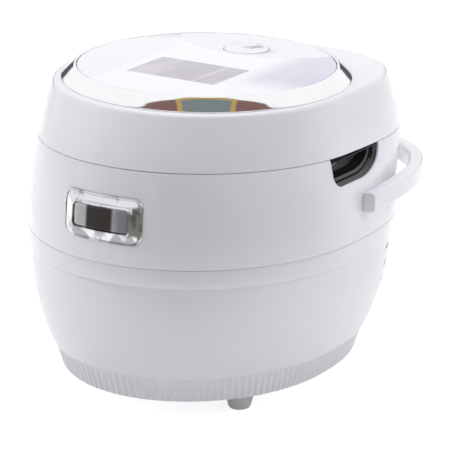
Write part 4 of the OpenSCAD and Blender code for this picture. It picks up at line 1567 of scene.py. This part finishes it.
CARRIED = (
    CarriedPart("base_tray", Finishes.SHELL_LOW), CarriedPart("base_screws", Finishes.STEEL),
    CarriedPart("top_collar", Finishes.GREY), CarriedPart("heat_shield", Finishes.STEEL),
    CarriedPart("heating_plate", Finishes.CAST), CarriedPart("heater_tube", Finishes.WIRE),
    CarriedPart("sensor_guide", Finishes.STEEL), CarriedPart("sensor_cap", Finishes.CAST, "sensor"),
    CarriedPart("inner_pot", Finishes.COATING), CarriedPart("board_carrier", Finishes.PALE),
    CarriedPart("power_board", Finishes.BOARD), CarriedPart("board_parts", Finishes.BLACK),
    CarriedPart("thermal_fuse", Finishes.BLACK), CarriedPart("mains_inlet", Finishes.BLACK),
    CarriedPart("inlet_pins", Finishes.STEEL), CarriedPart("latch_bracket", Finishes.STEEL),
    CarriedPart("latch_lever", Finishes.GREY, "latch"), CarriedPart("latch_pin", Finishes.STEEL),
    CarriedPart("hinge_block", Finishes.SHELL), CarriedPart("hinge_pin", Finishes.STEEL),
    CarriedPart("lid_spring", Finishes.WIRE), CarriedPart("hinge_arm", Finishes.GREY, "lid"),
    CarriedPart("lid_liner", Finishes.PALE, "lid"), CarriedPart("inner_lid", Finishes.STEEL, "lid"),
    CarriedPart("pot_seal", Finishes.SILICONE, "lid"), CarriedPart("catch_plate", Finishes.STEEL, "lid"),
    CarriedPart("panel_tray", Finishes.PALE, "lid"), CarriedPart("touch_board", Finishes.BOARD, "lid"),
    CarriedPart("display", Finishes.SCREEN, "lid"), CarriedPart("steam_well", Finishes.PALE, "lid"),
    CarriedPart("steam_cap", Finishes.SHELL, "cap"),
)


@dataclass
class Spring(CarriedPart):
    """A spring, carried as a smooth copy of its node."""

    joint: str = ""
    axis: tuple[float, float, float] = (0.0, 0.0, 1.0)
    anchor: tuple[float, float, float] = (0.0, 0.0, 0.0)
    travel: float = 0.003

    def build(self) -> None:
        """Copies the node, dresses it and gives the copy a mesh of its own."""
        piece = self.copy()
        dress(piece, self.finish, self.body, self.node)
        low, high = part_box(self.node)
        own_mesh(piece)


SPRINGS = (
    Spring("sensor_spring", Finishes.WIRE, joint="sensor_slide", anchor=(0.0, 0.0, 0.042)),
    Spring("button_springs", Finishes.WIRE, joint="button_press", axis=(0.0, 1.0, 0.0),
           anchor=(0.0, 0.001 * AXIS_Y - 0.124, 0.0)),
)


@dataclass
class Studio:
    """The floor, the lamps, the surroundings and the camera."""

    target: tuple[float, float, float] = (0.0, 0.0, 151.0)
    aim: tuple[float, float, float] = (0.0, 0.0, 0.15)
    reach: float = 4000.0
    unit: float = 130.0
    focal: float = 171.1646
    distance: float = 17.5347
    rise_deg: float = 16.3247
    turn_deg: float = 32.1487
    roll_deg: float = 0.3762
    middle: tuple[float, float] = (205.94, 177.20)
    picture: float = 450.0
    sensor: float = 36.0
    ambient: float = 0.32
    glow: float = 0.10
    bare: float = 0.74
    watts: tuple[float, float, float] = (25.0, 23.0, 22.0)

    def camera(self) -> None:
        """Sets the camera: its place, and its axis through the middle of the picture."""
        a, e, roll = (math.radians(v) for v in (self.turn_deg, self.rise_deg, self.roll_deg))
        right = Vector((math.cos(a), math.sin(a), 0))
        ahead = Vector((-math.sin(a) * math.cos(e), math.cos(a) * math.cos(e), -math.sin(e)))
        up = right.cross(ahead)
        right, up = (right * math.cos(roll) + up * math.sin(roll),
                     up * math.cos(roll) - right * math.sin(roll))
        eye = Vector(place(np.array(self.target)).tolist()) - ahead * (
            self.distance * self.unit * 0.001)
        lens_px = self.focal * self.distance
        half = self.picture / 2
        offset = (half - self.middle[0], half - self.middle[1])
        axis = (ahead * lens_px + right * offset[0] - up * offset[1]).normalized()
        side = (right - axis * right.dot(axis)).normalized()
        top = side.cross(axis)
        data = bpy.data.cameras.new("view")
        data.sensor_width = self.sensor
        data.lens = self.sensor * lens_px / self.picture
        data.clip_start, data.clip_end = 0.1, 50.0
        made = linked("view", data)
        frame3 = Matrix((side, top, -axis)).transposed()
        made.matrix_world = Matrix.Translation(eye) @ frame3.to_4x4()
        bpy.context.scene.camera = made

    def lamp(self, name: str, place_m: tuple[float, float, float],
             at_m: tuple[float, float, float], size: tuple[float, float], watts: float) -> None:
        """Adds a soft rectangular lamp.

        Args:
            name: Name of the lamp.
            place_m: Where it stands, in metres.
            at_m: The point it faces.
            size: Width and height in metres.
            watts: Power.
        """
        data = bpy.data.lights.new(name, "AREA")
        data.shape, data.energy = "RECTANGLE", watts
        data.size, data.size_y = size
        made = linked(name, data)
        made.visible_glossy = False
        aim = Vector(at_m) - Vector(place_m)
        made.matrix_world = (Matrix.Translation(place_m)
                             @ aim.to_track_quat("-Z", "Y").to_matrix().to_4x4())

    def surroundings(self) -> None:
        """World: white where it is seen or mirrored, with a dark teal patch high in front."""
        world = bpy.data.worlds.new("studio")
        bpy.context.scene.world = world
        world.use_nodes = True
        graph = Graph(world.node_tree)
        coord = graph.node("ShaderNodeTexCoord")
        ray = Sock(graph, coord.outputs["Generated"])
        a = math.radians(self.turn_deg)
        toward = (math.sin(a), -math.cos(a), 0.0)
        across = (math.cos(a), math.sin(a), 0.0)

        def along(axis: tuple[float, float, float]) -> Sock:
            """Share of the ray along an axis.

            Args:
                axis: The axis.

            Returns:
                The share.
            """
            made = graph.node("ShaderNodeVectorMath", {"operation": "DOT_PRODUCT"},
                              {0: ray, 1: axis})
            return Sock(graph, made.outputs["Value"])

        ahead, beside, high = along(toward), along(across), along((0.0, 0.0, 1.0))
        zenith = high.ramp(0.72, 0.80)
        wings = zenith * ahead.ramp(0.025, 0.05)
        rim = wings * beside.absolute().ramp(0.245, 0.235)
        core = zenith * ahead.ramp(0.055, 0.075) * beside.absolute().ramp(0.205, 0.195)
        low = high.ramp(0.42, 0.16) * ahead.ramp(0.10, 0.35)
        cloud = graph.noise(graph.vector_math("MULTIPLY", ray, (3.0, 3.0, 1.0)), 1.3, 2.0)
        behind = high.ramp(0.15, 0.09) * ahead.ramp(-0.80, -0.90)
        shade = graph.blend(low, (1.0, 1.0, 1.0), (0.22, 0.22, 0.24))
        shade = graph.blend(behind, shade, (0.10, 0.10, 0.12))
        shade = graph.blend(low * cloud.ramp(0.45, 0.60), shade, (0.85, 0.85, 0.87))
        shade = graph.blend(wings, shade, (0.22, 0.13, 0.12))
        shade = graph.blend(rim, shade, (0.50, 0.33, 0.12))
        shade = graph.blend(core, shade, (0.20, 0.24, 0.235))
        path = graph.node("ShaderNodeLightPath")
        seen = Sock(graph, path.outputs["Is Camera Ray"])
        glossy = Sock(graph, path.outputs["Is Glossy Ray"])
        through = Sock(graph, path.outputs["Is Transmission Ray"])
        mirrored = glossy.largest(through)
        colour = graph.blend(mirrored, (1.0, 1.0, 1.0), shade)
        strength = seen + mirrored + (1.0 - seen.largest(mirrored)) * self.ambient
        back = graph.node("ShaderNodeBackground", None, {"Color": colour, "Strength": strength})
        graph.node("ShaderNodeOutputWorld", None, {"Surface": Sock(graph, back.outputs[0])})

    def floor(self) -> None:
        """A wide pale floor, plain to the camera, that keeps the cooker's shadow; it glows faintly to
        light the cooker from below, and in reflections it is painted bright near the cooker and dark
        beyond.
        """
        r = self.reach
        square = np.array([[-r, -r, 0.0], [r, -r, 0.0], [r, r, 0.0], [-r, r, 0.0]])
        mesh = bpy.data.meshes.new("floor")
        mesh.from_pydata(place(square).tolist(), [], [[0, 1, 2, 3]])
        made = linked("floor", mesh)
        look = bpy.data.materials.new("studio_floor")
        look.use_nodes = True
        graph = Graph(look.node_tree)
        path = graph.node("ShaderNodeLightPath")
        seen = Sock(graph, path.outputs["Is Camera Ray"])
        x, y, _ = graph.parts(graph.place())
        away = graph.math("SQRT", x * x + y * y)
        a = math.radians(self.turn_deg)
        ahead = x * math.sin(a) - y * math.cos(a)
        # near: 1 round the cooker and on its far side, where the floor's painted reflection stays bright
        near = 1.0 - away.ramp(0.34, 0.62) * ahead.ramp(-0.05, 0.30)
        mirrored = Sock(graph, path.outputs["Is Glossy Ray"])
        # the floor glows: evenly bright to the camera, a faint fill light for the cooker, and a painted
        # brighter reflection where near
        glow = graph.node("ShaderNodeEmission", None, {
            "Color": (1.0, 1.0, 1.0, 1.0),
            "Strength": seen * (self.bare - self.glow) + mirrored * near * 0.35 + self.glow})
        # painted reflection: the floor seen in reflections turns dark where it is not near
        tone = graph.blend(mirrored * (1.0 - near), (0.80, 0.80, 0.80), (0.16, 0.15, 0.11))
        matt = graph.node("ShaderNodeBsdfDiffuse", None, {"Color": tone})
        both = graph.node("ShaderNodeAddShader", None, {
            0: Sock(graph, matt.outputs[0]), 1: Sock(graph, glow.outputs[0])})
        graph.node("ShaderNodeOutputMaterial", None, {"Surface": Sock(graph, both.outputs[0])})
        mesh.materials.append(look)

    def build(self) -> None:
        """Builds the studio."""
        self.floor()
        self.surroundings()
        left, right, top = self.watts
        self.lamp("left_box", (-1.9, -1.0, 1.45), self.aim, (1.4, 1.6), left)
        self.lamp("right_box", (1.9, 1.2, 1.45), self.aim, (1.4, 1.6), right)
        self.lamp("top_box", (-0.1, 0.5, 2.3), self.aim, (1.4, 1.4), top)
        self.camera()
        bpy.context.scene.view_settings.view_transform = "Standard"


def write_sizes() -> None:
    """Brings the view layer up to date."""
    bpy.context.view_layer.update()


def main() -> None:
    """Builds the cooker from the base up, then the studio."""
    for part in (HousingShells(), RibbedBase(), FingerRecess(), RearHandle(), ReleaseButton(),
                 LidShell(), ControlPanel(), *CARRIED, *SPRINGS):
        part.build()
        LOG.info("built %s", type(part).__name__)
    Studio().build()
    write_sizes()


if __name__ == "__main__":
    logging.basicConfig(level=logging.INFO, format="%(name)s %(message)s")
    main()
